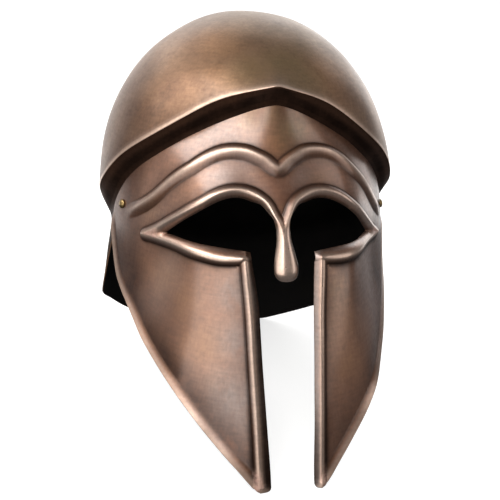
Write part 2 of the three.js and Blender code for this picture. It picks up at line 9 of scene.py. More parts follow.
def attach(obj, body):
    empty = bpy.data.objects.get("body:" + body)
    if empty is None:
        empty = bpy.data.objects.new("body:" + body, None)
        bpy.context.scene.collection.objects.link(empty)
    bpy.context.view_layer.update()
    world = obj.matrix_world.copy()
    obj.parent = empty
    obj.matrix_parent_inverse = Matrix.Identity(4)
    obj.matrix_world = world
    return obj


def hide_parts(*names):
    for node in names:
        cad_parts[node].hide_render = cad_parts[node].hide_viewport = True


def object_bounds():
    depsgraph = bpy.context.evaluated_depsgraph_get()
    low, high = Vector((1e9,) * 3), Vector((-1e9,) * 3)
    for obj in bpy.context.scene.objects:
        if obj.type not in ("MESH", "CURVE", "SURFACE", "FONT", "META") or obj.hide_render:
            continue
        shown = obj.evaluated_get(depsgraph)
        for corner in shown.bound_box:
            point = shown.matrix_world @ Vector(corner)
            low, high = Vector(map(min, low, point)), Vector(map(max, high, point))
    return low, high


# Open-faced bronze helmet: skull, embossed face plate and two temple rivets.
# Shapes are worked out in the wearer's frame in millimetres (x to the wearer's
# left, -y to the front, z up with 0 at the root of the nasal), leant back to the
# rest pose and turned into metres at the end.

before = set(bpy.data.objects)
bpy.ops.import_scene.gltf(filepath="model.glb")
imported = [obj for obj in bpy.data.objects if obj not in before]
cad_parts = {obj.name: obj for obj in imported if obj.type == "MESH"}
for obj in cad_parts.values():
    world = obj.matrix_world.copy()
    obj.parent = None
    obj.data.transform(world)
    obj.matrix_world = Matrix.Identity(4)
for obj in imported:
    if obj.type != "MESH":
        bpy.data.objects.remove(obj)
cad_box = [list(v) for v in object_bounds()]

# ---------------------------------------------------------------- dimensions
SHEET = 1.3
PLATE_GAP = 0.6
AXIS_Y = 106.4
MM_PER_DEG = 1.86
LEAN = math.radians(24.2)
TIP_Z = -160.2
CROWN = dict(y=103.1, z=49.3, half=108.2, front=110.0, rear=118.0, up=123.0)
RIVET = dict(phi=66.8, z=23.2, head=3.2, rise=2.0, shank=1.3, tail=2.3)
BEAD = (2.8, 4.2, 2.0)  # rim round the eyes: height, width on the sheet side, drop at the free edge
FRONT_BEAD = (2.2, 3.4, 2.0)
BROW = dict(height=2.3, above=4.2, below=6.2, fade_from=50, fade_to=66)
REAR_RIM = (2.2, 6.0)
OFFSET = dict(left=0.6, right=1.6, right_tip=1.4, nasal=1.3, left_brow=1.7)
ROUNDING = 0.42  # how far the sheets' free edges are rounded over

FACE_PHI = [0, 12, 24, 36, 50, 62, 76, 92]
FACE_ROWS = [
    (-158, [108.5, 108.5, 107.0, 107.5, 105.5, 102.5, 98.0, 93.0]),
    (-104, [111.5, 111.0, 110.0, 109.0, 103.0, 101.0, 98.5, 95.5]),
    (-57, [112.5, 112.5, 112.0, 106.5, 101.0, 100.5, 99.5, 97.5]),
    (-19, [111.5, 112.5, 113.0, 105.5, 99.2, 100.2, 101.2, 100.0]),
    (14, [108.0, 108.5, 112.0, 106.5, 101.5, 101.6, 102.6, 101.5]),
    (43, [104.5, 105.0, 106.5, 103.5, 100.5, 100.5, 103.0, 103.0]),
    (72, [107.5, 102.5, 97.5, 96.0, 96.5, 99.0, 102.5, 105.0]),
]
NECK_PHI = [76, 90, 108, 125, 145, 180]
NECK_ROWS = [
    (-65, [98.0, 115.0, 112.0, 113.0, 116.5, 118.0]),
    (-40, [98.5, 109.5, 107.8, 109.0, 112.5, 114.5]),
    (-20, [99.5, 105.8, 105.0, 106.0, 109.5, 111.5]),
    (0, [100.4, 103.2, 103.0, 104.0, 107.0, 109.0]),
    (20, [100.2, 100.5, 101.0, 102.5, 105.0, 106.5]),
    (38, [100.6, 101.5, 102.0, 103.0, 105.0, 106.5]),
]
LIP_PHI = [0, 3, 6, 12, 20, 30, 40, 50, 60, 72, 90, 110, 140, 180]
LIP_R = [113.2, 112.4, 111.4, 110.0, 108.4, 108.0, 108.5, 109.4, 110.4, 111.2, 109.0, 109.4, 112.6, 114.6]
LIP_Z = [85.6, 84.9, 84.0, 82.2, 79.0, 72.0, 65.0, 59.2, 53.6, 45.0, 40.0, 37.0, 34.0, 33.0]
FOLD_PHI = [0, 4.5, 9, 16, 23.5, 31.2, 39.4, 48, 57, 64.5, 72, 80, 90, 108, 125, 145, 180]
FOLD_Z = [75.8, 74.6, 73.0, 70.0, 66.0, 61.2, 56.2, 51.4, 46.4, 40.8, 32.5, 26.0, 22.0, 18.0, 16.0, 13.0, 11.0]
EDGE_PHI = [0, 50, 57, 61, 64.5, 68, 72, 75.5, 79, 83, 87, 90.5, 93.5, 96.5, 101, 108, 125, 137, 150, 160, 170, 180]
EDGE_Z = [64.0, 40.0, 34.0, 24.0, 16.0, 13.5, 13.5, 12.0, 7.5, 0.5, -9.8, -21.0, -30.5, -35.0, -37.2, -39.4, -46.4, -51.2, -56.8, -60.9, -63.7, -64.6]
OUTLINE = dict(
    top=[[0, 75.2], [4.5, 74.0], [9, 72.4], [16, 69.4], [23.5, 65.4], [31.2, 60.6], [39.4, 55.6], [48, 50.8], [57, 45.8], [64.5, 39.6]],
    lobe=[[64.5, 39.6], [68.5, 34.3], [72.5, 28.5], [75.3, 22.5], [76.5, 16.5]],
    rear=[[76.5, 16.5], [76.5, 7], [76.1, -3], [75.3, -14], [73.8, -23], [72.6, -27.4]],
    jaw=[[72.6, -27.4], [69, -36], [65, -45], [60.5, -55], [56, -65.2], [50.4, -76.4], [44.7, -86.4], [39.4, -95.6], [35.0, -104.6],
         [31.8, -111.8], [28.9, -119], [26.0, -126], [22.8, -133.4], [19.7, -140.2], [16.5, -147], [13.5, -153.8], [11.7, -157.7]],
    tip=[[11.7, -157.7], [10.7, -159.6], [9.4, TIP_Z], [8.1, -159.6], [7.55, -157.7]],
    front=[[7.55, -157.7], [7.6, -150], [7.85, -135], [8.3, -105], [8.6, -80], [8.85, -58], [9.25, -41], [9.9, -25], [10.4, -16.6]],
    low=[[10.4, -16.6], [13.5, -15.3], [16.5, -14.2], [20, -12.9], [23.4, -11.5], [27, -9.7], [31, -7.3], [36, -4.0], [41.6, -0.5]],
    high=[[41.6, -0.5], [36, 2.9], [31, 6.1], [27, 8.9], [23.5, 11.9], [20.5, 14.5], [17.5, 16.4], [15, 17.0], [12, 16.2], [9, 14.0],
          [6.8, 12.4], [5.2, 9], [4.0, 6], [3.0, 2.3], [2.6, -2.4]],
    nasal=[[2.6, -2.4], [2.65, -8], [3.1, -14], [3.7, -20], [4.15, -26], [4.1, -29.5], [3.5, -33], [2.1, -35.2], [0, -35.9]],
)
CREST = dict(
    high=[[53.2, 0.1], [48.8, 1.3], [43, 3.7], [38.3, 6.2], [33, 9.2], [29, 12], [25.8, 14.4], [23, 17.2], [19.8, 20.0], [16.6, 21.6], [13.5, 21.8],
          [10.1, 20.4], [6.9, 17.2], [5.1, 14.2], [3.8, 10.5], [2.8, 6], [1.7, 2], [0.6, -3], [0.1, -7], [0, -12], [0, -28]],
    low=[[53.2, 0.1], [48.9, -2.0], [43.5, -4.9], [38.3, -8.0], [33, -11.9], [28.6, -15.4], [24.6, -18], [20.5, -20.2], [16.7, -20.9],
         [13.8, -21], [12.3, -21.1]],
    front=[[12.3, -21.1], [11.9, -35], [11.5, -48], [11.1, -72], [10.7, -103], [10.3, -133], [10.1, -150], [9.9, -157]],
    brow=[[0, 35.9], [1.2, 37.0], [2.6, 39.2], [4.3, 41.7], [6.2, 43.5], [9, 46], [12, 47.6], [15.5, 48.2], [19.2, 47.6], [22.8, 45.5],
          [26.5, 42.3], [29.5, 39.3], [33.6, 36.1], [37.9, 32.5], [42.8, 27.8], [47.7, 23.5], [53.5, 20.5], [60, 18.5], [66, 17.8]],
)


# ------------------------------------------------------------------- helpers
def ease(t):
    t = np.clip(t, 0, 1)
    return t * t * (3 - 2 * t)


class Spline:
    """Natural cubic through knots, straight beyond both ends. ys may be one set or one set per point."""

    def __init__(self, xs, ys=None):
        self.x = np.asarray(xs, float)
        self.h = h = np.diff(self.x)
        n = len(self.x)
        a, b = np.eye(n), np.zeros((n, n))
        for i in range(1, n - 1):
            a[i, i - 1 : i + 2] = h[i - 1], 2 * (h[i - 1] + h[i]), h[i]
            b[i, i - 1 : i + 2] = 6 / h[i - 1], -6 / h[i - 1] - 6 / h[i], 6 / h[i]
        self.second = np.linalg.solve(a, b)
        self.y = None if ys is None else np.asarray(ys, float)

    def __call__(self, x, ys=None):
        x = np.asarray(x, float)
        y = self.y if ys is None else np.asarray(ys, float)
        m = y @ self.second.T
        xc = np.clip(x, self.x[0], self.x[-1])
        i = np.clip(np.searchsorted(self.x, xc, side="right") - 1, 0, len(self.x) - 2)
        if y.ndim == 1:
            y0, y1, m0, m1 = y[i], y[i + 1], m[i], m[i + 1]
        else:
            k = np.arange(len(x))
            y0, y1, m0, m1 = y[k, i], y[k, i + 1], m[k, i], m[k, i + 1]
        h, t = self.h[i], xc - self.x[i]
        s = (y1 - y0) / h - h * (2 * m0 + m1) / 6
        value = y0 + t * (s + t * (m0 / 2 + t * (m1 - m0) / (6 * h)))
        slope = s + t * (m0 + t * (m1 - m0) / (2 * h))
        return value + slope * (x - xc)


def radius_table(phis, rows, mirror_start, mirror_end):
    zs = [z for z, _ in rows]
    table = np.array([r for _, r in rows])
    columns = [Spline(zs, table[:, i]) for i in range(len(phis))]
    xs, last = list(phis), len(phis) - 1
    order = list(range(len(phis)))
    if mirror_start:
        xs = [-p for p in reversed(phis[1:])] + xs
        order = list(range(last, 0, -1)) + order
    if mirror_end:
        xs = xs + [2 * phis[last] - p for p in reversed(phis[:last])]
        order = order + list(range(last - 1, -1, -1))
    across = Spline(xs)

    def radius(phi, z):
        v = np.stack([c(z) for c in columns], 1)[:, order]
        return across(np.abs(phi), v)

    return radius


def round_table(phi, values):
    xs = [-p for p in reversed(phi[1:])] + list(phi) + [360 - p for p in reversed(phi[:-1])]
    ys = list(reversed(values[1:])) + list(values) + list(reversed(values[:-1]))
    return Spline(xs, ys)


def along(points, step):
    p = np.array(points, float) * [MM_PER_DEG, 1]
    t = np.r_[0, np.cumsum(np.hypot(*np.diff(p, axis=0).T))]
    s = np.linspace(0, t[-1], max(1, round(t[-1] / step)) + 1)
    return np.c_[Spline(t, p[:, 0])(s), Spline(t, p[:, 1])(s)]


def distance(p, line, reach=16.0):
    """Distance of each point to a polyline, and on which side it is (+1 to the left of its run). Coarse beyond reach."""
    rough_line = line[:: max(1, len(line) // 40)]
    coarse = np.sqrt(((p[:, None, :] - rough_line[None]) ** 2).sum(2)).min(1)
    d, side = coarse.copy(), np.zeros(len(p))
    length = np.hypot(*np.diff(rough_line, axis=0).T).max() if len(rough_line) > 1 else 0
    near = np.nonzero(coarse < reach + length)[0]
    a = line[:-1]
    b = line[1:] - a
    bb = (b * b).sum(1)
    a, b, bb = a[bb > 1e-12], b[bb > 1e-12], bb[bb > 1e-12]
    for k in range(0, len(near), 3000):
        idx = near[k : k + 3000]
        rel = p[idx, None, :] - a[None]
        t = np.clip((rel * b[None]).sum(2) / bb, 0, 1)
        off = rel - t[:, :, None] * b[None]
        q = (off * off).sum(2)
        best = q.argmin(1)
        row = np.arange(len(idx))
        d[idx] = np.sqrt(q[row, best])
        r = rel[row, best]
        side[idx] = np.sign(b[best, 0] * r[:, 1] - b[best, 1] * r[:, 0])
    return d, side


def inside(p, loop):
    a, b = loop, np.roll(loop, 1, axis=0)
    hit = np.zeros(len(p), bool)
    for k in range(0, len(p), 3000):
        q = p[k : k + 3000]
        up = (a[None, :, 1] > q[:, None, 1]) != (b[None, :, 1] > q[:, None, 1])
        dy = np.where(np.abs(b[:, 1] - a[:, 1]) < 1e-12, 1e-12, b[:, 1] - a[:, 1])
        x = (b[:, 0] - a[:, 0])[None] * (q[:, None, 1] - a[None, :, 1]) / dy[None] + a[None, :, 0]
        hit[k : k + 3000] = (up & (q[:, None, 0] < x)).sum(1) % 2 == 1
    return hit


class Ripple:
    """Smooth, seeded unevenness over space: a sum of long waves, about -1 to 1."""

    def __init__(self, seed, length, count=14):
        g = np.random.default_rng(seed)
        d = g.normal(size=(count, 3))
        d /= np.linalg.norm(d, axis=1)[:, None]
        self.k = d * (2 * np.pi / (length * g.uniform(0.6, 1.7, count)))[:, None]
        self.phase = g.uniform(0, 2 * np.pi, count)
        self.scale = 1.5 / count**0.5

    def __call__(self, p):
        return np.cos(p @ self.k.T + self.phase).sum(1) * self.scale


def unit(v):
    return v / np.maximum(np.linalg.norm(v, axis=-1, keepdims=True), 1e-12)


# ------------------------------------------------------------- rest pose
def around(r, phi, z):
    a = np.radians(phi)
    return np.stack([r * np.sin(a), AXIS_Y - r * np.cos(a), z + 0 * r], -1)


face_radius = radius_table(FACE_PHI, FACE_ROWS, True, False)
neck_radius = radius_table(NECK_PHI, NECK_ROWS, False, True)
c, s = math.cos(LEAN), math.sin(LEAN)
TURN = np.array([[1, 0, 0], [0, c, s], [0, -s, c]])  # wearer's frame to rest pose
_tip = TURN @ around(face_radius(np.array([9.3]), np.array([TIP_Z])), np.array([9.3]), np.array([TIP_Z]))[0]
FLOOR = _tip[2] + 0.7
SHIFT = np.array([0, -82.24466077610182, 145.13799301971227])


def grounded(p):
    """Ground flat whatever would reach below the floor."""
    p = p.copy()
    below = FLOOR - p @ TURN[2]
    p[..., 2] += np.maximum(below, 0) / math.cos(LEAN)
    return p


def to_world(p):
    return (p @ TURN.T + SHIFT) / 1000


# ------------------------------------------------------------- face plate
fine = {k: along(v, 0.5) for k, v in CREST.items()}
edge = {k: along(v, 0.5) for k, v in OUTLINE.items()}
rear_line = np.vstack([edge["lobe"], edge["rear"], edge["jaw"], edge["tip"][: len(edge["tip"]) // 2]])
eye_free = np.vstack([edge["low"], edge["high"], edge["nasal"]])


def flat_point(a, z):
    return np.array([[a * MM_PER_DEG, z]])


eye_region = np.vstack([fine["low"][::-1], fine["high"], [[-0.01, -28], [-0.01, -80]], flat_point(12, -80)])
front_region = np.vstack([fine["front"], flat_point(9.9, -170), [[0, -170], [0, -10]], flat_point(12.3, -10)])
crest_of = Spline([-p[1] for p in CREST["front"]], [p[0] * MM_PER_DEG for p in CREST["front"]])
edge_of = Spline([-p[1] for p in OUTLINE["front"]][::-1], [p[0] * MM_PER_DEG for p in OUTLINE["front"]][::-1])


def emboss(p, facts=None):
    """Height of the embossing above the plain face at (arc, height) of one half."""
    d_high, _ = distance(p, fine["high"])
    d_low, _ = distance(p, fine["low"])
    eye = np.minimum(d_high, d_low)
    eye_open, _ = distance(p, eye_free)
    front, _ = distance(p, fine["front"])
    front_open, _ = distance(p, edge["front"])
    open_eye, open_front = inside(p, eye_region), inside(p, front_region)

    drip = ease((8 - p[:, 1]) / 14) * (p[:, 0] < 10) * (p[:, 1] > -38)

    def bead(q, free, open_side, kind):
        height, width, drop = kind
        u = np.clip(q / np.maximum(q + free, 1e-6), 0, 1)
        t = np.minimum(q / width, 1)
        return np.where(open_side, height - (height + drop) * u ** (1.8 + 1.3 * drip), height * (1 - t * t) ** 0.8)

    h_eye, h_front = bead(eye, eye_open, open_eye, BEAD), bead(front, front_open, open_front, FRONT_BEAD)
    w = ease((eye - front) / 2.2 + 0.5)
    h = h_eye + (h_front - h_eye) * w
    brow, side = distance(p, fine["brow"])
    phi = p[:, 0] / MM_PER_DEG
    fade = 1 - ease((phi - BROW["fade_from"]) / (BROW["fade_to"] - BROW["fade_from"]))
    t = np.minimum(brow / np.where(side > 0, BROW["above"], BROW["below"]), 1)
    ridge = np.where(side > 0, (1 - t * t) ** 0.8, (1 - t) * (1 + 0.9 * t))
    h = h + BROW["height"] * fade * ridge
    d_rear, _ = distance(p, rear_line)
    t = np.minimum(d_rear / REAR_RIM[1], 1)
    rim = (1 - t) ** 1.3 * ease((22 - p[:, 1]) / 14)
    h = h + REAR_RIM[0] * rim
    if facts is not None:
        open_side = np.where(w > 0.5, open_front, open_eye)
        facts.update(top=distance(p, edge["top"])[0], eye=eye, front=front, brow=brow, brow_side=side, fade=fade, rear=d_rear, rim=rim, open=open_side,
                     eye_open=eye_open, front_open=front_open, w=w)
    return h


def uneven(p, side):
    """Sideways shift of the nasal and of the guards' front edges."""
    x, z = p[:, 0], p[:, 1]
    nasal = np.where(x < 12, OFFSET["nasal"] * np.sqrt(ease((6 - z) / 34)), 0)
    cx, ex = crest_of(-z), edge_of(-z)
    w = np.clip((cx - x) / (cx - ex), 0, 1) * ease((-16 - z) / 40)
    guard = OFFSET["left"] if side > 0 else OFFSET["right"] + OFFSET["right_tip"] * ease((-60 - z) / 100)
    return np.where((x < 12) & (z > -37), side * x + nasal, np.where(z > -16, side * x, side * x + guard * w))


face_ripple = Ripple(11, 46)


def face_point(p, lift, side):
    x, z = uneven(p, side), p[:, 1]
    if side > 0:
        z = z + OFFSET["left_brow"] * np.exp(-(((z - 44) / 11) ** 2)) * ease((p[:, 0] - 4) / 14) * ease((80 - p[:, 0]) / 30)
    phi = x / MM_PER_DEG
    r = face_radius(phi, z) + lift
    q = around(r, phi, z)
    return around(r + 0.16 * face_ripple(q), phi, z)


def inset(line, by):
    """The same open line moved to its left by a distance, its ends kept on the centre line."""
    d = np.gradient(line, axis=0)
    out = line + unit(np.c_[-d[:, 1], d[:, 0]]) * by
    out[0, 0] = out[-1, 0] = 0
    return out


def scatter(groups):
    """Takes points in turn, leaving out those nearer than their gap to one already taken."""
    cell, grid, out = 1.0, {}, []
    for pts, gaps in groups:
        for (x, y), gap in zip(pts.tolist(), gaps.tolist()):
            i, j, k = int(x // cell), int(y // cell), int(gap // cell) + 1
            g2, ok = gap * gap, True
            for a in range(i - k, i + k + 1):
                for b in range(j - k, j + k + 1):
                    for qx, qy in grid.get((a, b), ()):
                        if (qx - x) ** 2 + (qy - y) ** 2 < g2:
                            ok = False
                            break
                    if not ok:
                        break
                if not ok:
                    break
            if ok:
                grid.setdefault((i, j), []).append((x, y))
                out.append((x, y))
    return np.array(out)


def face_mesh():
    step = 0.9
    parts = [along(OUTLINE[k], step)[:-1] for k in OUTLINE]
    line = inset(np.vstack(parts + [[[0, -35.9]]]), -ROUNDING)  # the outline runs clockwise
    lowest, highest = line[-1, 1], line[0, 1]
    n = int((highest - lowest) / 1.1)
    middle = np.c_[np.zeros(n - 1), np.linspace(lowest, highest, n + 1)[1:-1]]
    loop = np.vstack([line, middle])
    groups = []
    offsets = dict(
        high=[0, 0.8, -0.8, 1.6, -1.6, 2.4, -2.4, 3.2, -3.2, -3.8, -4.2, -4.6, -5.4, 4.0],
        low=[0, 0.8, -0.8, 1.6, -1.6, 2.4, -2.4, 3.2, -3.2, 3.8, 4.2, 4.6, 5.4, -4.0],
        front=[0, 0.8, -0.8, 1.6, -1.6, 2.4, -2.4, 3.0, 3.4, 3.8, 4.6, -3.2],
        brow=[0, 0.8, -0.8, 1.6, -1.6, 2.4, -2.4, 3.2, -3.2, 3.9, 4.2, 4.5, 5.3, -4.2, -5.2, -6.2, -7.2],
    )
    for key, offs in offsets.items():
        ref, row = fine[key], along(CREST[key], 0.85)
        d = np.gradient(row, axis=0)
        nrm = unit(np.c_[-d[:, 1], d[:, 0]])
        for off in offs:
            q = row + nrm * off
            q = q[distance(q, ref)[0] > abs(off) * 0.95 - 0.01]
            groups.append((q, np.full(len(q), 0.42 if abs(off) in (0, 4.2, 3.4) else 0.5)))
    xs, zs = np.arange(0.45, 150, 0.85), np.arange(-161, 76, 0.85 * 0.866)
    gx, gz = np.meshgrid(xs, zs)
    gx = gx + (np.arange(len(zs)) % 2 * 0.425)[:, None]
    g = np.c_[gx.ravel(), gz.ravel()]
    g = g[inside(g, loop)]
    near = np.full(len(g), 99.0)
    for l in (fine["high"], fine["low"], fine["front"], fine["brow"], rear_line, edge["front"], eye_free, edge["top"]):
        near = np.minimum(near, distance(g, l)[0])
    dense = near < 7.5
    groups.append((g[dense], np.full(dense.sum(), 0.62)))
    sparse = g[~dense]
    groups.append((sparse, np.clip(0.62 + (near[~dense] - 7.5) * 0.2, 0.62, 1.35)))
    # the outline first, so that it keeps all its points
    margin = 0.5
    filtered = []
    for q, gap in groups:
        keep = inside(q, loop) & (q[:, 0] > 0.5)
        filtered.append((q[keep], gap[keep]))
    pts = scatter([(loop, np.full(len(loop), 1e-3))] + filtered)
    far = np.ones(len(pts), bool)
    d_edge, _ = distance(pts[len(loop) :], np.vstack([loop, loop[:1]]), reach=6)
    far[len(loop) :] = d_edge > margin
    pts = pts[far]
    n = len(loop)
    edges = [(i, (i + 1) % n) for i in range(n)]
    verts, _, faces, orig, _, _ = delaunay_2d_cdt([Vector(p) for p in pts], edges, [], 1, 1e-5, True)
    pts = np.array([tuple(v) for v in verts])
    origin = [o[0] if o else -1 for o in orig]
    if -1 in origin or len(pts) != len(origin):
        raise RuntimeError("the outline crosses itself")
    back = np.empty(max(origin) + 1, int)
    back[origin] = np.arange(len(origin))
    loop_index = back[np.arange(n)]
    tris = np.array([tuple(f) for f in faces])
    tris = tris[inside(pts[tris].mean(1), loop)]
    return pts, tris, loop_index, len(line)


def build_face():
    pts, tris, loop_index, free_count = face_mesh()
    a, b, c3 = (pts[tris[:, k]] for k in range(3))
    flip = (b[:, 0] - a[:, 0]) * (c3[:, 1] - a[:, 1]) - (b[:, 1] - a[:, 1]) * (c3[:, 0] - a[:, 0]) < 0
    tris[flip] = tris[flip][:, [0, 2, 1]]
    facts = {}
    e = 0.12
    h0, h1, h2 = emboss(pts, facts), emboss(pts + [e, 0]), emboss(pts + [0, e])
    h1b, h2b = emboss(pts - [e, 0]), emboss(pts - [0, e])
    centre = pts[:, 0] < 1e-4
    n = len(pts)
    free = loop_index[:free_count]  # from the middle of the forehead round to the nasal tip
    sides = {}
    for side in (1, -1):
        p0 = face_point(pts, h0, side)
        du = face_point(pts + [e, 0], h1, side) - face_point(pts - [e, 0], h1b, side)
        dv = face_point(pts + [0, e], h2, side) - face_point(pts - [0, e], h2b, side)
        if side > 0:
            mirror_du = du
        nrm = unit(np.cross(du, dv)) * side
        sides[side] = [grounded(p0), nrm, np.cross(du, dv)]
    # on the centre line both halves share a vertex and its normal has no sideways part from the seam
    for k in range(1, 2):
        nl, nr = sides[1][1], sides[-1][1]
        mean = unit(nl + nr * [1, 1, 1])
        nl[centre] = mean[centre]
        nr[centre] = mean[centre]
    left_ids = np.arange(n)
    right_ids = np.where(centre, left_ids, 0)
    extra = np.nonzero(~centre)[0]
    right_ids[extra] = n + np.arange(len(extra))
    P = np.vstack([sides[1][0], sides[-1][0][extra]])
    N = np.vstack([sides[1][1], sides[-1][1][extra]])
    T = np.vstack([left_ids[tris], right_ids[tris][:, [0, 2, 1]]])
    # one closed run round the whole sheet: down the wearer's left, back up the right
    run = np.r_[left_ids[free], right_ids[free][1:-1][::-1]]
    source = np.r_[np.arange(n), extra]
    data = {k: v[source] for k, v in facts.items()}
    data["pts"] = pts[source]
    data["side"] = np.r_[np.ones(n), -np.ones(len(extra))]
    return closed_sheet(P, N, T, run), data, run


def closed_sheet(P, N, T, run):
    """Closed mesh from an outer skin: an inner skin a sheet's thickness behind it and a rounded free edge.
    run is the boundary, in either direction. Returns positions, normals, triangles and each vertex's layer, 0 outer to 1 inner."""
    n = len(P)
    inner = P - N * SHEET
    nxt, prv = np.roll(run, -1), np.roll(run, 1)
    t = unit(P[nxt] - P[prv])
    out = np.cross(t, N[run])
    # outward is away from the triangles' own middles
    centre = np.zeros((n, 3))
    count = np.zeros(n)
    mid = P[T].mean(1)
    for k in range(3):
        np.add.at(centre, T[:, k], mid)
        np.add.at(count, T[:, k], 1)
    centre /= np.maximum(count, 1)[:, None]
    sign = np.sign(((P[run] - centre[run]) * out).sum())
    out = unit(out) * sign
    steps = 5
    layers, normals = [], []
    for i in range(1, steps):
        a = math.pi * i / steps
        layers.append(P[run] + out * ROUNDING * math.sin(a) - N[run] * SHEET * (1 - math.cos(a)) / 2)
        normals.append(unit(out * math.sin(a) + N[run] * math.cos(a)))
    pos = np.vstack([P, inner] + layers)
    nor = np.vstack([N, -N] + normals)
    m = len(run)
    rings = [run] + [2 * n + i * m + np.arange(m) for i in range(steps - 1)] + [run + n]
    faces = [T, T[:, [0, 2, 1]] + n]
    for r0, r1 in zip(rings, rings[1:]):
        a, b, c0, d = r0, np.roll(r0, -1), np.roll(r1, -1), r1
        faces.append(np.c_[a, b, c0])
        faces.append(np.c_[a, c0, d])
    walls = np.vstack(faces[2:])
    # turn the wall faces outward
    fn = np.cross(pos[walls[:, 1]] - pos[walls[:, 0]], pos[walls[:, 2]] - pos[walls[:, 0]])
    if (fn * nor[walls].mean(1)).sum() < 0:
        walls = walls[:, [0, 2, 1]]
    tris = np.vstack([faces[0], faces[1], walls])
    layer = np.r_[np.zeros(n), np.ones(n), np.repeat(np.arange(1, steps) / steps, m)]
    return grounded(pos), nor, tris, layer


# --------------------------------------------------------------------- skull
lip_radius, lip_height = round_table(LIP_PHI, LIP_R), round_table(LIP_PHI, LIP_Z)
fold_height = round_table(FOLD_PHI, FOLD_Z)


def wall_radius(phi, z):
    behind = face_radius(np.minimum(phi, 80), z) - SHEET - PLATE_GAP
    return behind + (neck_radius(np.maximum(phi, 76), z) - behind) * ease((phi - 62) / 16)


skull_ripple = Ripple(5, 60)


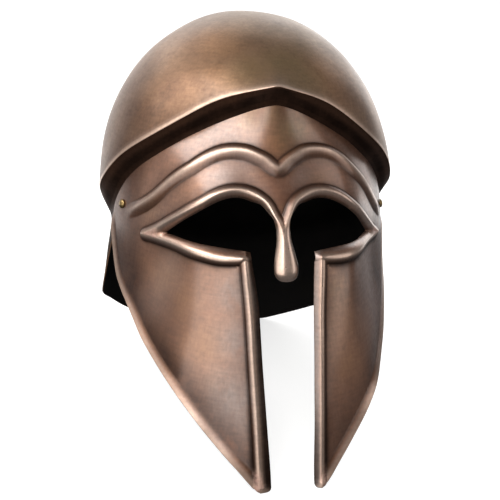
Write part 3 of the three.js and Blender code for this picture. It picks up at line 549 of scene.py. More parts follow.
def build_skull():
    stops = [(0, 10, 0.5), (10, 56, 1.0), (56, 74, 0.75), (74, 98, 0.4), (98, 104, 0.8), (104, 180, 1.25)]
    half = np.concatenate([np.linspace(a, b, int(round((b - a) / d)) + 1)[:-1] for a, b, d in stops] + [[180.0]])
    phi = np.concatenate([half, 360 - half[1:-1][::-1]])
    f = np.minimum(phi, 360 - phi)  # both halves use the same tables
    lip = around(lip_radius(f), f, lip_height(f))
    turn = np.arctan2(lip[:, 0], CROWN["y"] - lip[:, 1])
    depth = np.where(np.cos(turn) > 0, CROWN["front"], CROWN["rear"])
    reach = 1 / np.hypot(np.sin(turn) / CROWN["half"], np.cos(turn) / depth)
    last = np.arccos((lip[:, 2] - CROWN["z"]) / CROWN["up"])
    flare = np.hypot(lip[:, 0], lip[:, 1] - CROWN["y"]) - reach * np.sin(last)
    soft = 0.7 + 7.9 * ease((f - 74) / 46)
    rows, kind = [], []

    def dome(psi):
        w = np.clip(1 - (last - psi) * reach / 26, 0, 1) ** 2
        rho = reach * np.sin(psi) + flare * w
        return np.stack([rho * np.sin(turn), CROWN["y"] - rho * np.cos(turn), CROWN["z"] + CROWN["up"] * np.cos(psi)], 1)

    end = last - soft / reach
    for t in np.r_[np.linspace(0.012, 0.8, 34), np.linspace(0.82, 1, 16)]:
        rows.append(dome(end * t))
        kind.append(("dome", t))
    z = fold_height(f)
    covered = 1 - ease((f - 64) / 14)
    fold = around(wall_radius(f, z) + 0.4 + 2.0 * covered, f, z + 0.9 + 1.6 * (1 - covered))
    gap = np.linalg.norm(lip - fold, axis=1)
    below = lip + (fold - lip) * np.clip(soft / gap, 0, 0.45)[:, None]
    start = rows[-1]
    for t in np.linspace(0, 1, 11)[1:]:
        rows.append(start * (1 - t) ** 2 + lip * 2 * t * (1 - t) + below * t * t)
        kind.append(("lip", t))
    band = np.linalg.norm(fold - below, axis=1)
    stop = fold + (below - fold) * np.minimum(2.2 / band, 0.35)[:, None]
    for t in np.linspace(0, 1, 7)[1:]:
        rows.append(below + (stop - below) * t)
        kind.append(("band", t))
    top = around(wall_radius(f, z - 0.7), f, z - 0.7)
    under = around(wall_radius(f, z - 3.2), f, z - 3.2)
    knee = (fold + top) / 2
    for t in np.linspace(0, 1, 8)[1:]:
        rows.append(stop * (1 - t) ** 2 + knee * 2 * t * (1 - t) + under * t * t)
        kind.append(("fold", t))
    low = np.interp(f, EDGE_PHI, EDGE_Z) + ROUNDING
    for t in np.linspace(0, 1, 25)[1:]:
        zi = z - 3.2 + (low - z + 3.2) * t
        rows.append(around(wall_radius(f, zi), f, zi))
        kind.append(("wall", t))
    grid = np.stack(rows, 1)  # column, row, xyz
    mirrored = phi > 180
    grid[mirrored, :, 0] *= -1
    grid[0, :, 0] = 0
    grid[np.argmin(np.abs(phi - 180)), :, 0] = 0
    nc, nr = grid.shape[:2]
    apex = np.array([[0, CROWN["y"], CROWN["z"] + CROWN["up"]]])
    # unevenness along the plain outward direction, none near the plate's tight gap
    centre = np.array([0, CROWN["y"], CROWN["z"]])
    open_rows = np.array([k == "dome" for k, _ in kind], float)
    out = unit(grid - centre)
    amount = 0.22 * skull_ripple(grid.reshape(-1, 3)).reshape(nc, nr) * open_rows[None]
    amount = np.minimum(amount, 0) - 0.0
    grid = grid + out * amount[..., None]
    dc = np.roll(grid, -1, 0) - np.roll(grid, 1, 0)
    dr = np.gradient(grid, axis=1)
    dr[:, 0] = grid[:, 0] - apex
    nrm = unit(np.cross(dr, dc))
    if (nrm * out).sum() < 0:
        nrm = -nrm
    ids = np.arange(nc * nr).reshape(nc, nr)
    a, b = ids[:, :-1], ids[:, 1:]
    a2, b2 = np.roll(a, -1, 0), np.roll(b, -1, 0)
    quads = np.vstack([np.c_[a.ravel(), b.ravel(), b2.ravel()], np.c_[a.ravel(), b2.ravel(), a2.ravel()]])
    top_id = nc * nr
    cap = np.c_[np.full(nc, top_id), ids[:, 0], np.roll(ids[:, 0], -1)]
    P = grounded(np.vstack([grid.reshape(-1, 3), apex]))
    N = np.vstack([nrm.reshape(-1, 3), [[0, 0, 1]]])
    T = np.vstack([quads, cap])
    fn = np.cross(P[T[:, 1]] - P[T[:, 0]], P[T[:, 2]] - P[T[:, 0]])
    if (fn * N[T].mean(1)).sum() < 0:
        T = T[:, [0, 2, 1]]
    names = dict(dome=0, lip=1, band=2, fold=3, wall=4)
    data = dict(
        kind=np.r_[np.tile([names[k] for k, _ in kind], nc), 0],
        t=np.r_[np.tile([t for _, t in kind], nc), 0.0],
        phi=np.r_[np.repeat(np.where(phi > 180, phi - 360, phi), nr), 0.0],
        lip_gap=np.r_[np.linalg.norm(grid - lip_mirrored(lip, mirrored)[:, None], axis=2).ravel(), 200.0],
        edge_gap=np.r_[np.abs(grid[:, :, 2] - grid[:, -1:, 2]).ravel(), 200.0],
    )
    return closed_sheet(P, N, T, ids[:, -1]), data


def lip_mirrored(lip, mirrored):
    out = lip.copy()
    out[mirrored, 0] *= -1
    return out


# -------------------------------------------------------------------- rivets
def build_rivet(side):
    p = np.array([[RIVET["phi"] * MM_PER_DEG, RIVET["z"]]])
    e = 2.0
    o = face_point(p, emboss(p), 1)[0]
    u = face_point(p + [e, 0], emboss(p + [e, 0]), 1)[0] - o
    v = face_point(p + [0, e], emboss(p + [0, e]), 1)[0] - o
    n = unit(np.cross(u, v))
    x = unit(u)
    y = np.cross(n, x)
    through = 2 * SHEET + PLATE_GAP
    under = -through - 1.6
    profile = [(0, under - 1.0), (RIVET["tail"] * 0.5, under - 0.92), (RIVET["tail"] * 0.85, under - 0.6), (RIVET["tail"], under - 0.15),
               (RIVET["tail"] * 0.97, under), (RIVET["shank"], under), (RIVET["shank"], 0.3), (RIVET["head"] * 0.96, 0.34)]
    for i in range(10):
        a = math.pi / 2 * i / 9
        profile.append((RIVET["head"] * math.cos(a) ** 0.9 if i < 9 else 0, 0.45 + (RIVET["rise"] - 0.16) * math.sin(a)))
    seg = 40
    ang = 2 * np.pi * np.arange(seg) / seg
    pts, rings = [], []
    for r, z in profile:
        if r == 0:
            rings.append(np.full(seg, len(pts)))
            pts.append((0, 0, z))
        else:
            rings.append(len(pts) + np.arange(seg))
            pts.extend(np.c_[r * np.cos(ang), r * np.sin(ang), np.full(seg, z)].tolist())
    pts = np.array(pts)
    faces = []
    for r0, r1 in zip(rings, rings[1:]):
        a, b, c0, d = r0, np.roll(r0, -1), np.roll(r1, -1), r1
        for tri in (np.c_[a, b, c0], np.c_[a, c0, d]):
            ok = (tri[:, 0] != tri[:, 1]) & (tri[:, 1] != tri[:, 2]) & (tri[:, 0] != tri[:, 2])
            faces.append(tri[ok])
    faces = np.vstack(faces)
    world = o + pts @ np.array([x, y, n])
    if side < 0:
        world[:, 0] *= -1
        faces = faces[:, [0, 2, 1]]
    return world, faces


# ------------------------------------------------------------------- meshes
def within(p):
    """Eased back, over a few millimetres, to inside the frame's box."""
    for axis in range(3):
        for sign, limit in ((-1, -cad_box[0][axis]), (1, cad_box[1][axis])):
            q = p[:, axis] * sign
            over = q.max() - (limit - 2e-6)
            if over > 0:
                p[:, axis] -= sign * over * ease((q - (limit - 0.004)) / (0.004 + over))
    return p


def make_object(name, pos, tris, normals=None, attributes=None, smooth=True):
    mesh = bpy.data.meshes.new(name)
    mesh.vertices.add(len(pos))
    mesh.vertices.foreach_set("co", within(to_world(pos)).astype(np.float32).ravel())
    mesh.loops.add(len(tris) * 3)
    mesh.loops.foreach_set("vertex_index", tris.astype(np.int32).ravel())
    mesh.polygons.add(len(tris))
    mesh.polygons.foreach_set("loop_start", np.arange(0, len(tris) * 3, 3, dtype=np.int32))
    mesh.polygons.foreach_set("loop_total", np.full(len(tris), 3, np.int32))
    mesh.update(calc_edges=True)
    mesh.validate()
    mesh.polygons.foreach_set("use_smooth", np.full(len(tris), smooth))
    if normals is not None:
        mesh.normals_split_custom_set_from_vertices(unit(normals @ TURN.T).tolist())
    for key, values in (attributes or {}).items():
        layer = mesh.attributes.new(key, "FLOAT", "POINT")
        layer.data.foreach_set("value", np.ascontiguousarray(values, np.float32))
    obj = bpy.data.objects.new(name, mesh)
    bpy.context.scene.collection.objects.link(obj)
    return obj


# ---------------------------------------------------------------- materials
class Nodes:
    """Short hand for building a material's node tree."""

    def __init__(self, name):
        self.mat = bpy.data.materials.new(name)
        self.mat.use_nodes = True
        self.tree = self.mat.node_tree
        self.tree.nodes.clear()
        self.out = self.add("ShaderNodeOutputMaterial")
        self.bsdf = self.add("ShaderNodeBsdfPrincipled")
        self.link(self.bsdf.outputs[0], self.out.inputs[0])

    def add(self, kind, **props):
        n = self.tree.nodes.new(kind)
        for k, v in props.items():
            setattr(n, k, v)
        return n

    def link(self, a, b):
        self.tree.links.new(a, b)

    def attribute(self, name):
        return self.add("ShaderNodeAttribute", attribute_name=name).outputs["Fac"]

    def math(self, op, a, b=None, clamp=False):
        n = self.add("ShaderNodeMath", operation=op, use_clamp=clamp)
        for i, v in enumerate((a, b)):
            if v is None:
                continue
            if isinstance(v, (int, float)):
                n.inputs[i].default_value = v
            else:
                self.link(v, n.inputs[i])
        return n.outputs[0]

    def scale_range(self, v, a, b, c0=0.0, d=1.0, smooth=False):
        n = self.add("ShaderNodeMapRange", interpolation_type="SMOOTHSTEP" if smooth else "LINEAR")
        self.link(v, n.inputs[0])
        for i, x in zip(range(1, 5), (a, b, c0, d)):
            n.inputs[i].default_value = x
        return n.outputs[0]

    def noise(self, scale, detail=4.0, rough=0.55, stretch=None, distortion=0.0, rotate=None):
        co = self.add("ShaderNodeTexCoord").outputs["Object"]
        if stretch or rotate:
            m = self.add("ShaderNodeMapping")
            if stretch:
                m.inputs["Scale"].default_value = stretch
            if rotate:
                m.inputs["Rotation"].default_value = rotate
            self.link(co, m.inputs[0])
            co = m.outputs[0]
        n = self.add("ShaderNodeTexNoise")
        n.inputs["Scale"].default_value = scale
        n.inputs["Detail"].default_value = detail
        n.inputs["Roughness"].default_value = rough
        n.inputs["Distortion"].default_value = distortion
        self.link(co, n.inputs["Vector"])
        return n.outputs["Fac"]

    def mix(self, f, a, b, kind="MIX"):
        n = self.add("ShaderNodeMix", data_type="RGBA", blend_type=kind)
        for i, v in ((0, f), (6, a), (7, b)):
            if isinstance(v, (int, float)):
                n.inputs[i].default_value = v
            elif isinstance(v, tuple):
                n.inputs[i].default_value = (*v, 1)
            else:
                self.link(v, n.inputs[i])
        return n.outputs[2]

    def bump(self, height, strength, distance, normal=None):
        n = self.add("ShaderNodeBump")
        n.inputs["Strength"].default_value = strength
        n.inputs["Distance"].default_value = distance
        self.link(height, n.inputs["Height"])
        if normal is not None:
            self.link(normal, n.inputs["Normal"])
        return n.outputs[0]


def bronze(name, brown, dark, olive, pale, rough, grain, coat, coat_rough, coat_ior):
    """Hand-rubbed antique bronze under a thin lacquer, with light and shade painted into its colour. Attributes:
    rub_and_highlight (bright crests: painted highlight and rubbed wear), deep_shade (painted shade in creases and
    recesses), raw (rough solder), shade (painted shade, partly dark patina), green (olive patina, on the dome partly a
    painted highlight), red_band_shade (painted shade under the lip, red-brown), warm (orange-brown patina) and
    grey_wear_and_sheen (worn neutral patina and painted grey reflection)."""
    m = Nodes(name)
    clouds = m.noise(14, 5, 0.6, distortion=0.6)
    blotch = m.noise(42, 4, 0.62)
    mottle = m.noise(110, 4, 0.6, stretch=(1.0, 1.0, 0.55))
    speck = m.noise(380, 3, 0.6)
    streak = m.noise(90, 3, 0.6, stretch=(1.0, 1.0, 0.16))
    weft = m.noise(640, 2, 0.55, stretch=(0.2, 0.2, 1.0))
    warp = m.noise(640, 2, 0.55, stretch=(1.0, 1.0, 0.16))
    base = m.mix(m.scale_range(clouds, 0.36, 0.66, smooth=True), dark, brown)
    base = m.mix(m.math("MULTIPLY", m.scale_range(blotch, 0.42, 0.72, smooth=True), 0.45), base, pale)
    base = m.mix(m.math("MULTIPLY", m.attribute("warm"), m.scale_range(mottle, 0.3, 0.65, 0.6, 1.0)), base, (0.46, 0.215, 0.085))
    base = m.mix(m.math("MULTIPLY", m.attribute("green"), m.scale_range(mottle, 0.3, 0.6, 0.55, 1.0)), base, olive)
    # worn neutral grey patina, and painted grey reflection
    base = m.mix(m.math("MULTIPLY", m.attribute("grey_wear_and_sheen"), m.scale_range(mottle, 0.3, 0.6, 0.65, 1.0)), base, (0.27, 0.215, 0.19))
    # painted shade: dark red-brown under the lip
    base = m.mix(m.attribute("red_band_shade"), base, (0.17, 0.065, 0.033))
    # painted shade, partly dark patina, mixed in as a near-black brown
    shade = m.math("MULTIPLY", m.attribute("shade"), m.scale_range(blotch, 0.25, 0.7, 0.6, 1.15), clamp=True)
    base = m.mix(shade, base, (0.068, 0.031, 0.019))
    base = m.mix(m.scale_range(streak, 0.35, 0.75, 0.0, 0.25), base, dark)
    base = m.mix(m.scale_range(mottle, 0.5, 0.72, 0.0, 0.42, smooth=True), base, dark)
    base = m.mix(m.scale_range(speck, 0.62, 0.8, 0.0, 0.3), base, dark)
    # painted shade: near black in creases, recesses and dark flanges
    deep_shade = m.math("MULTIPLY", m.attribute("deep_shade"), m.scale_range(blotch, 0.25, 0.6, 0.8, 1.0), clamp=True)
    base = m.mix(deep_shade, base, (0.020, 0.011, 0.008))
    # painted highlight: pale cream on the crests, partly rubbed wear
    rub_and_highlight = m.math("MULTIPLY", m.attribute("rub_and_highlight"), m.scale_range(blotch, 0.3, 0.62, 0.78, 1.0), clamp=True)
    base = m.mix(rub_and_highlight, base, (0.70, 0.51, 0.40))
    raw = m.attribute("raw")
    lumps = m.noise(520, 4, 0.7)
    base = m.mix(m.math("MULTIPLY", raw, m.scale_range(lumps, 0.4, 0.62, 0.35, 1.0)), base, (0.62, 0.40, 0.33))
    threads = m.math("ADD", m.scale_range(weft, 0.3, 0.7, 0.41, 0.57), m.scale_range(warp, 0.3, 0.7, 0.41, 0.57))
    base = m.mix(1.0, base, threads, "MULTIPLY")
    m.link(base, m.bsdf.inputs["Base Color"])
    m.bsdf.inputs["Metallic"].default_value = 1.0
    r = m.math("ADD", m.scale_range(clouds, 0.3, 0.7, rough + 0.05, rough - 0.04), m.scale_range(speck, 0.4, 0.7, -0.03, 0.05))
    r = m.math("ADD", r, m.scale_range(threads, 0.85, 1.1, 0.05, -0.05))
    r = m.math("ADD", r, m.math("MULTIPLY", deep_shade, 0.22))
    r = m.math("ADD", r, m.math("MULTIPLY", rub_and_highlight, -0.12))
    r = m.math("ADD", r, m.math("MULTIPLY", raw, 0.2), clamp=True)
    m.link(r, m.bsdf.inputs["Roughness"])
    height = m.math("ADD", m.math("MULTIPLY", threads, 0.9), m.math("MULTIPLY", speck, 0.5))
    height = m.math("ADD", height, m.math("MULTIPLY", m.math("MULTIPLY", raw, lumps), 14.0))
    m.link(m.bump(height, grain, 0.00006), m.bsdf.inputs["Normal"])
    # the lacquer is left off where shade is painted and on the solder
    coat_kept = m.math("MULTIPLY", m.math("SUBTRACT", 1.0, m.math("MULTIPLY", deep_shade, 0.97)), m.math("SUBTRACT", 1.0, m.math("MULTIPLY", raw, 0.6)))
    coat_kept = m.math("MULTIPLY", coat_kept, m.math("SUBTRACT", 1.0, m.math("MULTIPLY", shade, 0.6)))
    m.link(m.math("MULTIPLY", coat_kept, coat), m.bsdf.inputs["Coat Weight"])
    m.bsdf.inputs["Coat Roughness"].default_value = coat_rough
    m.bsdf.inputs["Coat IOR"].default_value = coat_ior
    return m.mat


def plain_metal(name, colour, rough, spread=0.25):
    m = Nodes(name)
    n = m.noise(260, 4, 0.6)
    m.link(m.mix(m.scale_range(n, 0.35, 0.7), tuple(v * (1 - spread) for v in colour), colour), m.bsdf.inputs["Base Color"])
    m.bsdf.inputs["Metallic"].default_value = 1.0
    m.link(m.scale_range(n, 0.3, 0.7, rough - 0.05, rough + 0.08), m.bsdf.inputs["Roughness"])
    return m.mat


def blackened(name):
    m = Nodes(name)
    n = m.noise(60, 5, 0.6)
    m.link(m.mix(m.scale_range(n, 0.3, 0.7), (0.0015, 0.0013, 0.0012), (0.004, 0.003, 0.0025)), m.bsdf.inputs["Base Color"])
    m.bsdf.inputs["Metallic"].default_value = 0.0
    m.bsdf.inputs["Specular IOR Level"].default_value = 0.12
    m.link(m.scale_range(n, 0.3, 0.7, 0.7, 0.85), m.bsdf.inputs["Roughness"])
    return m.mat


skull_bronze = bronze("skull_bronze", (0.325, 0.185, 0.1), (0.17, 0.088, 0.046), (0.29, 0.2, 0.08), (0.41, 0.265, 0.175), 0.52, 0.45, 0.7, 0.32, 1.5)
face_bronze = bronze("face_bronze", (0.36, 0.158, 0.072), (0.21, 0.082, 0.036), (0.27, 0.19, 0.085), (0.42, 0.21, 0.125), 0.45, 0.35, 1.0, 0.24, 1.95)
inside_black = blackened("blackened_inside")
rivet_brass = plain_metal("rivet_brass", (0.36, 0.25, 0.11), 0.34)

# ------------------------------------------------------------------- pieces
(pos, nor, tris, layer), data = build_skull()
n_outer = len(data["kind"])


def spread(values, closed_len, run=None, fill=0.0):
    """Values of the outer skin carried to the inner skin and the rounded edge."""
    m = len(values)
    rest = closed_len - 2 * m
    out = np.full(closed_len, fill, float)
    out[:m] = values
    out[m : 2 * m] = values
    if run is not None and rest:
        out[2 * m :] = np.tile(values[run], rest // len(run))
    return out


def band_of(d, width):
    return np.clip(1 - np.abs(d) / width, 0, 1)


k, t = data["kind"], data["t"]
lip_gap = data["lip_gap"]
# painted highlight along the crest of the lip, partly rubbed wear
rub_and_highlight = 0.9 * np.exp(-((lip_gap / 2.1) ** 2)) * (np.abs(data["phi"]) < 100) * ((k == 0) | ((k == 1) & (t < 0.75)))
# painted shade: the lip's underside, the band and the fold under it dark red-brown to near black, darkest under the
# apex, and the top of the wall
band_shade = np.where((k == 2) | (k == 3) | ((k == 1) & (t > 0.6)), 0.75, 0.0)
deep_shade = np.where(k == 3, 0.92, 0.0) + np.where(k == 2, 0.72 + 0.27 * ease((t - 0.3) / 0.35) + 0.3 * np.exp(-((data["phi"] / 9) ** 2)), 0.0) + np.where(k == 1, 0.8 * ease((t - 0.7) / 0.2), 0.0) + np.where((k == 4) & (t < 0.12), 0.5, 0.0)
H = pos[:n_outer]
lip_near = np.abs(data["phi"]) < 110
phis = data["phi"]
# painted shade: the dome darker towards the lip, most on the wearer's right
near_lip = 0.85 * np.exp(-lip_gap / 30) * ease((-phis - 12) / 30) + 0.35 * np.exp(-lip_gap / 14) * ease((phis - 30) / 30)
shade = near_lip * (k == 0) * ease((125 - np.abs(phis)) / 20)
view = unit(np.array([0.16, -0.52, 0.84]))
dome_dir = unit(H - [0, CROWN["y"], CROWN["z"]])
outer = to_world(H)


def patches(where, spots):
    """Soft spots of patina, of painted shade and of painted highlight: each a place in the rest pose, a radius (m) and
    a strength.
    """
    out = np.zeros(len(where))
    for centre, radius, strength in spots:
        d = np.linalg.norm(where - centre, axis=1) / radius
        out = np.maximum(out, strength * np.exp(-(d**2)))
    return out


# olive patina on the crown; the spots low on its front also lighten the dome there, a painted highlight
green = 0.55 * np.exp(-((1 - dome_dir @ view) / 0.09)) * (k == 0)
green = np.maximum(green, patches(outer, [((0.009, -0.036, 0.237), 0.018, 0.85), ((-0.013, -0.040, 0.234), 0.016, 0.6), ((0.02, -0.02, 0.249), 0.02, 0.5), ((0.017, -0.044, 0.229), 0.02, 0.75),
                                          ((0.05, 0.06, 0.24), 0.03, 0.5), ((-0.07, 0.08, 0.2), 0.03, 0.5), ((0.02, 0.12, 0.2), 0.03, 0.5)])) * (k == 0)
warm = patches(outer, [((-0.033, -0.008, 0.2505), 0.020, 0.55), ((-0.058, -0.029, 0.219), 0.020, 0.4), ((0.040, -0.032, 0.231), 0.022, 0.7),
                       ((-0.036, -0.036, 0.227), 0.014, 0.35), ((0.07, 0.0, 0.2), 0.022, 0.4), ((-0.05, 0.07, 0.235), 0.03, 0.5),
                       ((0.03, 0.1, 0.225), 0.03, 0.5), ((0.09, 0.06, 0.16), 0.03, 0.4), ((-0.02, 0.14, 0.15), 0.03, 0.5)]) * (k == 0)
# painted shade: dark spots over the dome, most low on its front on the wearer's right
shade = np.maximum(shade, patches(outer, [((-0.011, -0.016, 0.252), 0.009, 0.45), ((0.024, -0.011, 0.252), 0.016, 0.35), ((0.0, 0.004, 0.261), 0.03, 0.3),
                                          ((-0.082, -0.015, 0.203), 0.032, 0.8), ((-0.065, -0.024, 0.218), 0.022, 0.75), ((-0.07, -0.027, 0.205), 0.02, 0.65), ((-0.062, -0.036, 0.2), 0.024, 0.6), ((-0.079, -0.002, 0.222), 0.02, 0.5), ((0.0565, -0.028, 0.222), 0.02, 0.35),
                                          ((0.012, 0.006, 0.2615), 0.026, 0.6), ((0.05, -0.005, 0.245), 0.02, 0.4), ((-0.074, 0.009, 0.230), 0.014, 0.3),
                                          ((0.06, 0.09, 0.21), 0.02, 0.4), ((-0.04, 0.12, 0.19), 0.025, 0.4)])) * (k == 0)
# painted shade: the wall just behind the plate's rear edge made dark and matte
shade_behind_plate = 0.75 * ease((94 - np.abs(phis)) / 6) * ease((np.abs(phis) - 70) / 4) * ease((30 - H[:, 2]) / 16) * (k == 4)
shade = np.maximum(shade, shade_behind_plate)
deep_shade = np.maximum(deep_shade, 1.2 * shade_behind_plate)
grey_wear_and_sheen = 0.35 * np.exp(-lip_gap / 12) * (k == 0)
skull_run = None
skull = make_object("skull_sheet", pos, tris, nor, {
    "rub_and_highlight": spread(rub_and_highlight, len(pos)), "deep_shade": spread(np.clip(deep_shade, 0, 1), len(pos)), "raw": spread(rub_and_highlight * 0, len(pos)),
    "green": spread(green, len(pos)), "red_band_shade": spread(band_shade, len(pos)), "shade": spread(shade, len(pos)),
    "warm": spread(warm, len(pos)), "grey_wear_and_sheen": spread(grey_wear_and_sheen, len(pos)),
})


def two_sided(obj, layer, outer, inner):
    """The inner skin takes the blackened material, the outer skin and the edge the bronze."""
    obj.data.materials.append(outer)
    obj.data.materials.append(inner)
    n = len(obj.data.polygons)
    corner = np.zeros(n * 3, np.int32)
    obj.data.loops.foreach_get("vertex_index", corner)
    inner_face = (layer[corner].reshape(-1, 3) > 0.55).all(1)
    obj.data.polygons.foreach_set("material_index", inner_face.astype(np.int32))


two_sided(skull, layer, skull_bronze, inside_black)

(pos, nor, tris, layer), data, run = build_face()
crest = np.where(data["w"] > 0.5, data["front"], data["eye"])
side, low_half = data["side"], data["pts"][:, 1] < -1.5
eye_bead = data["w"] < 0.5
across = crest / np.maximum(crest + np.where(eye_bead, data["eye_open"], data["front_open"]), 1e-6)
# painted highlight on the crests of the beads, the brow ridges and the rear rim, partly rubbed wear
bead_rub_highlight = np.where(data["open"], np.exp(-((crest / np.where(eye_bead, 2.2, 1.2)) ** 2)), np.exp(-((crest / np.where(eye_bead, 1.5, 1.1)) ** 2))) * 0.95
brow_rub_highlight = np.exp(-((data["brow"] / np.where(data["brow_side"] > 0, 1.2, 2.0)) ** 2)) * 0.85 * data["fade"]
rim_rub_highlight = ease((data["rim"] - 0.15) / 0.5) * 0.5
rub_and_highlight = np.clip(np.maximum.reduce([bead_rub_highlight, brow_rub_highlight, rim_rub_highlight]), 0, 1)
foot = np.where(data["w"] > 0.5, FRONT_BEAD[1], BEAD[1])
low_end = ease((-95 - data["pts"][:, 1]) / 45)
below_eye = eye_bead & low_half
# painted shade in the creases at the feet of the beads, wider under the eye on the wearer's left and towards the tips
reach = np.where(below_eye, np.where(side > 0, 2.4, 1.3), 0.9) + 1.3 * low_end
crease_shade = np.where(data["open"], 0, np.exp(-(((crest - foot) / reach) ** 2)) * (0.88 + 0.1 * low_end))
brow_foot = np.where(data["brow_side"] > 0, data["brow"] - BROW["above"], data["brow"] - BROW["below"])
# painted shade along the feet of the brow ridges and in the groove by the rear rim
brow_shade = np.exp(-((brow_foot / 0.9) ** 2)) * np.where(data["brow_side"] > 0, 0.85, 0.6) * data["fade"]
rim_shade = np.exp(-(((data["rear"] - REAR_RIM[1] * 0.9) / 1.0) ** 2)) * 0.5 * ease((16 - data["pts"][:, 1]) / 10)
# painted shade on the open sides of the beads: the wearer's right flange dark all down, the left one only towards its
# tip
eye_rim_shade = np.where(low_half, 0.45 * ease((across - 0.8) / 0.2), 0.85 * ease((across - 0.5) / 0.3))
flange_shade = np.where(side > 0, 0.12 + 0.55 * low_end * ease((crest - 1.0) / 1.5), ease((crest - 0.9) / 0.9))
open_side_shade = np.where(data["open"], np.where(eye_bead, eye_rim_shade, flange_shade), 0)
arc, z = data["pts"][:, 0], data["pts"][:, 1]
nasal = ease((4 - z) / 10) * (arc < 9.5) * (z > -37)
deep_shade = np.clip(np.maximum.reduce([crease_shade, brow_shade, rim_shade, open_side_shade * (1 - nasal)]), 0, 1)
# painted highlight over the whole nasal
rub_and_highlight = np.maximum(rub_and_highlight * (1 - nasal), 0.85 * nasal)
fall = lambda d, reach: np.exp(-np.maximum(d, 0) / reach)
degrees = arc / MM_PER_DEG
# painted shade: darker by the bead feet, the brow ridges, the rear rim, under the top edge, over the temples and low by
# the front beads
shade = np.maximum.reduce([
    0.7 * fall(crest - foot, 5.5) * ~data["open"],
    0.6 * fall(brow_foot, 4.5) * data["fade"],
    0.97 * np.exp(-((np.maximum(data["rear"] - REAR_RIM[1], 0) / 13) ** 2)) * ease((data["rear"] - 4.5) / 2.5) * ease((20 - z) / 14) * np.where(side > 0, 0.6, 1),
    0.45 * fall(data["rear"], 8),
    0.3 * fall(data["top"], 6) * np.where(side > 0, 1.6, 1),
    0.9 * ease((degrees - np.where(side > 0, 40, 47)) / 14) * ease((z + 70) / 40),
    0.85 * fall(data["front"] - 3.4, 9) * ease((-85 - z) / 50) * ~data["open"],
]) * (1 - nasal)
raw = ease((arc / MM_PER_DEG - 44.0) / 2.5) * data["open"] * (data["w"] < 0.5)
tip = ease((-144 - z) / 8) * ease((5 - data["front"]) / 3)
raw = np.maximum(raw, np.where(side > 0, 0.6, 0.75) * tip * (~data["open"] | (data["front"] < 1.0)))
outer = to_world(pos[: len(arc)])
green = patches(outer, [((0.0104, -0.0555, 0.2006), 0.013, 0.75), ((-0.0173, -0.0507, 0.2055), 0.010, 0.45), ((0.036, -0.105, 0.11), 0.014, 0.35), ((0.0, -0.052, 0.207), 0.01, 0.5)])
warm = patches(outer, [((-0.0688, -0.0649, 0.1068), 0.014, 0.75), ((-0.048, -0.1062, 0.0771), 0.013, 0.75), ((-0.0583, -0.0863, 0.0984), 0.014, 0.5),
                       ((0.0359, -0.1092, 0.0849), 0.014, 0.65), ((0.0392, -0.1149, 0.0669), 0.012, 0.65), ((0.001, -0.0604, 0.1894), 0.009, 0.6),
                       ((0.0277, -0.0684, 0.1703), 0.008, 0.6), ((-0.0768, -0.0399, 0.1413), 0.010, 0.5), ((-0.044, -0.116, 0.058), 0.012, 0.4)])
# neutral grey: patches on the guards and the forehead, and a painted grey reflection on the wearer's left flange and on
# the open side of the lower eye rims
grey_wear_and_sheen = patches(outer, [((-0.0272, -0.1012, 0.1104), 0.016, 0.8), ((-0.028, -0.1127, 0.0828), 0.016, 0.75), ((-0.0317, -0.1248, 0.0492), 0.022, 0.75),
                       ((-0.0375, -0.0504, 0.1912), 0.018, 0.6), ((-0.0351, -0.0675, 0.1698), 0.014, 0.6), ((0.0144, -0.0679, 0.1734), 0.012, 0.5),
                       ((0.06, -0.06, 0.11), 0.02, 0.4)])
grey_wear_and_sheen = np.maximum(grey_wear_and_sheen, np.where(data["open"] & ~eye_bead & (side > 0), 0.9 * ease((crest - 1.0) / 1.0), 0))
grey_wear_and_sheen = np.maximum(grey_wear_and_sheen, np.where(data["open"] & eye_bead & low_half, 0.6 * ease((across - 0.45) / 0.3), 0)) * (1 - nasal)
warm = warm * (1 - nasal)
face = make_object("face_plate_sheet", pos, tris, nor, {
    "rub_and_highlight": spread(rub_and_highlight, len(pos), run), "deep_shade": spread(deep_shade, len(pos), run), "raw": spread(raw, len(pos), run),
    "green": spread(np.clip(green, 0, 1), len(pos), run), "red_band_shade": spread(rub_and_highlight * 0, len(pos), run), "shade": spread(shade, len(pos), run),
    "warm": spread(warm, len(pos), run), "grey_wear_and_sheen": spread(grey_wear_and_sheen, len(pos), run),
})
two_sided(face, layer, face_bronze, inside_black)

rivets = {}
for side, node in ((-1, "rivet_right"), (1, "rivet_left")):
    p, f = build_rivet(side)
    r = make_object(node + "_head", p, f)
    r.data.materials.append(rivet_brass)
    rivets[node] = r

for obj, node, slot in (
    (skull, "skull", "skull_bronze"),
    (face, "face_plate", "face_bronze"),
    (rivets["rivet_right"], "rivet_right", "rivet_brass"),
    (rivets["rivet_left"], "rivet_left", "rivet_brass"),
):
    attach(obj, "root")
    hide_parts(node)

# --------------------------------------------------------- camera and studio
scene = bpy.context.scene
cam = bpy.data.cameras.new("camera")
cam.lens, cam.sensor_width = 50.4, 36.0
cam.clip_start, cam.clip_end = 0.02, 30
camera = bpy.data.objects.new("camera", cam)
scene.collection.objects.link(camera)
right = TURN @ np.array([0.97745758, -0.20858163, -0.03271675])
down = TURN @ np.array([-0.01594008, 0.08161165, -0.99653673])
forward = TURN @ np.array([0.21052932, 0.97459389, 0.07644712])
place = (TURN @ np.array([-109.88055187, -416.44557988, -47.85305609]) + SHIFT) / 1000
camera.matrix_world = Matrix([[right[i], -down[i], -forward[i], place[i]] for i in range(3)] + [[0, 0, 0, 1]])
scene.camera = camera


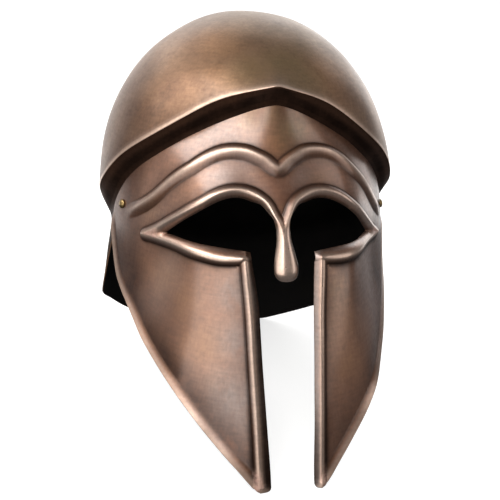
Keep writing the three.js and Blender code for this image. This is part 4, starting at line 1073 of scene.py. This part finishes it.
def stage_part(name, profile, material):
    verts = [(x, y, z) for y, z in profile for x in (-3.5, 3.5)]
    faces = [(2 * i, 2 * i + 1, 2 * i + 3, 2 * i + 2) for i in range(len(profile) - 1)]
    mesh = bpy.data.meshes.new(name)
    mesh.from_pydata(verts, [], faces)
    mesh.polygons.foreach_set("use_smooth", [True] * len(faces))
    mesh.materials.append(material)
    obj = bpy.data.objects.new(name, mesh)
    scene.collection.objects.link(obj)
    return obj


def stage():
    """A pale floor, and a backdrop that it curves up into behind the helmet."""
    m = Nodes("pale_floor")
    m.bsdf.inputs["Base Color"].default_value = (0.42, 0.42, 0.418, 1)
    m.bsdf.inputs["Emission Color"].default_value = (1, 1, 0.995, 1)
    m.bsdf.inputs["Emission Strength"].default_value = 0.72
    m.bsdf.inputs["Roughness"].default_value = 0.9
    m.bsdf.inputs["Specular IOR Level"].default_value = 0.1
    z = -0.0002
    curve = [(0.37, z), (1.3, z)]
    for i in range(1, 17):
        a = math.pi / 2 * i / 16
        curve.append((1.3 + 1.1 * math.sin(a), z + 1.1 - 1.1 * math.cos(a)))
    curve.append((2.4, 3.4))
    floor = stage_part("floor", [(-3.5, z), (0.37, z)], m.mat)
    floor.visible_glossy = False  # the floor in front stays out of the metal's reflections
    return floor, stage_part("backdrop", curve, m.mat)


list(stage())


def area(name, where, target, size, power, colour=(1, 1, 1)):
    light = bpy.data.lights.new(name, "AREA")
    light.shape = "RECTANGLE"
    light.size, light.size_y = size
    light.energy = power
    light.color = colour
    obj = bpy.data.objects.new(name, light)
    scene.collection.objects.link(obj)
    obj.location = where
    obj.rotation_euler = (Vector(target) - Vector(where)).to_track_quat("-Z", "Y").to_euler()
    return obj


def softbox(name, azimuth, elevation, away, width, height, radiance, colour=(1, 1, 1), reflected=True):
    """A soft light seen from the helmet at that azimuth (0 front, + to its left) and elevation, of an even radiance."""
    az, el = math.radians(azimuth), math.radians(elevation)
    centre = Vector((0, 0, 0.14))
    where = centre + away * Vector((math.sin(az) * math.cos(el), -math.cos(az) * math.cos(el), math.sin(el)))
    light = area(name, where, centre, (width, height), radiance * math.pi * width * height, colour)
    light.visible_camera = False
    light.visible_glossy = reflected
    return light


softbox("key", -57, 50, 1.3, 2.1, 0.6, 4.8, (1.0, 0.98, 0.96))
softbox("low_fill", -44, 11, 1.4, 2.0, 1.15, 1.6, (1.0, 0.97, 0.94))
softbox("left_fill", -93, 14, 1.4, 0.7, 0.8, 0.6, (1.0, 0.97, 0.94))
softbox("back_right", 140, 22, 1.5, 1.1, 1.1, 0.9)
softbox("right_fill", 60, 24, 1.5, 0.9, 1.2, 1.0, (1.0, 0.95, 0.91))
softbox("back_top", -160, 48, 1.5, 2.2, 1.1, 0.75, (1.0, 0.98, 0.96))
softbox("floor_light", 20, 78, 1.7, 1.6, 1.6, 1.6, reflected=False)
softbox("shadow_fill", 95, 22, 1.3, 1.8, 0.9, 1.6, reflected=False)
softbox("shadow_fill_back", 178, 25, 1.1, 1.8, 0.6, 1.6, reflected=False)
backdrop_light = area("backdrop_light", (0, 0.9, 2.3), (0, 2.3, 0.9), (3.0, 0.8), 16)
backdrop_light.visible_camera = backdrop_light.visible_glossy = False

world = bpy.data.worlds.new("studio")
world.use_nodes = True
world.node_tree.nodes["Background"].inputs[0].default_value = (0.86, 0.87, 0.9, 1)
world.node_tree.nodes["Background"].inputs[1].default_value = 0.18
scene.world = world
scene.view_settings.view_transform = "Standard"
scene.view_settings.look = "None"
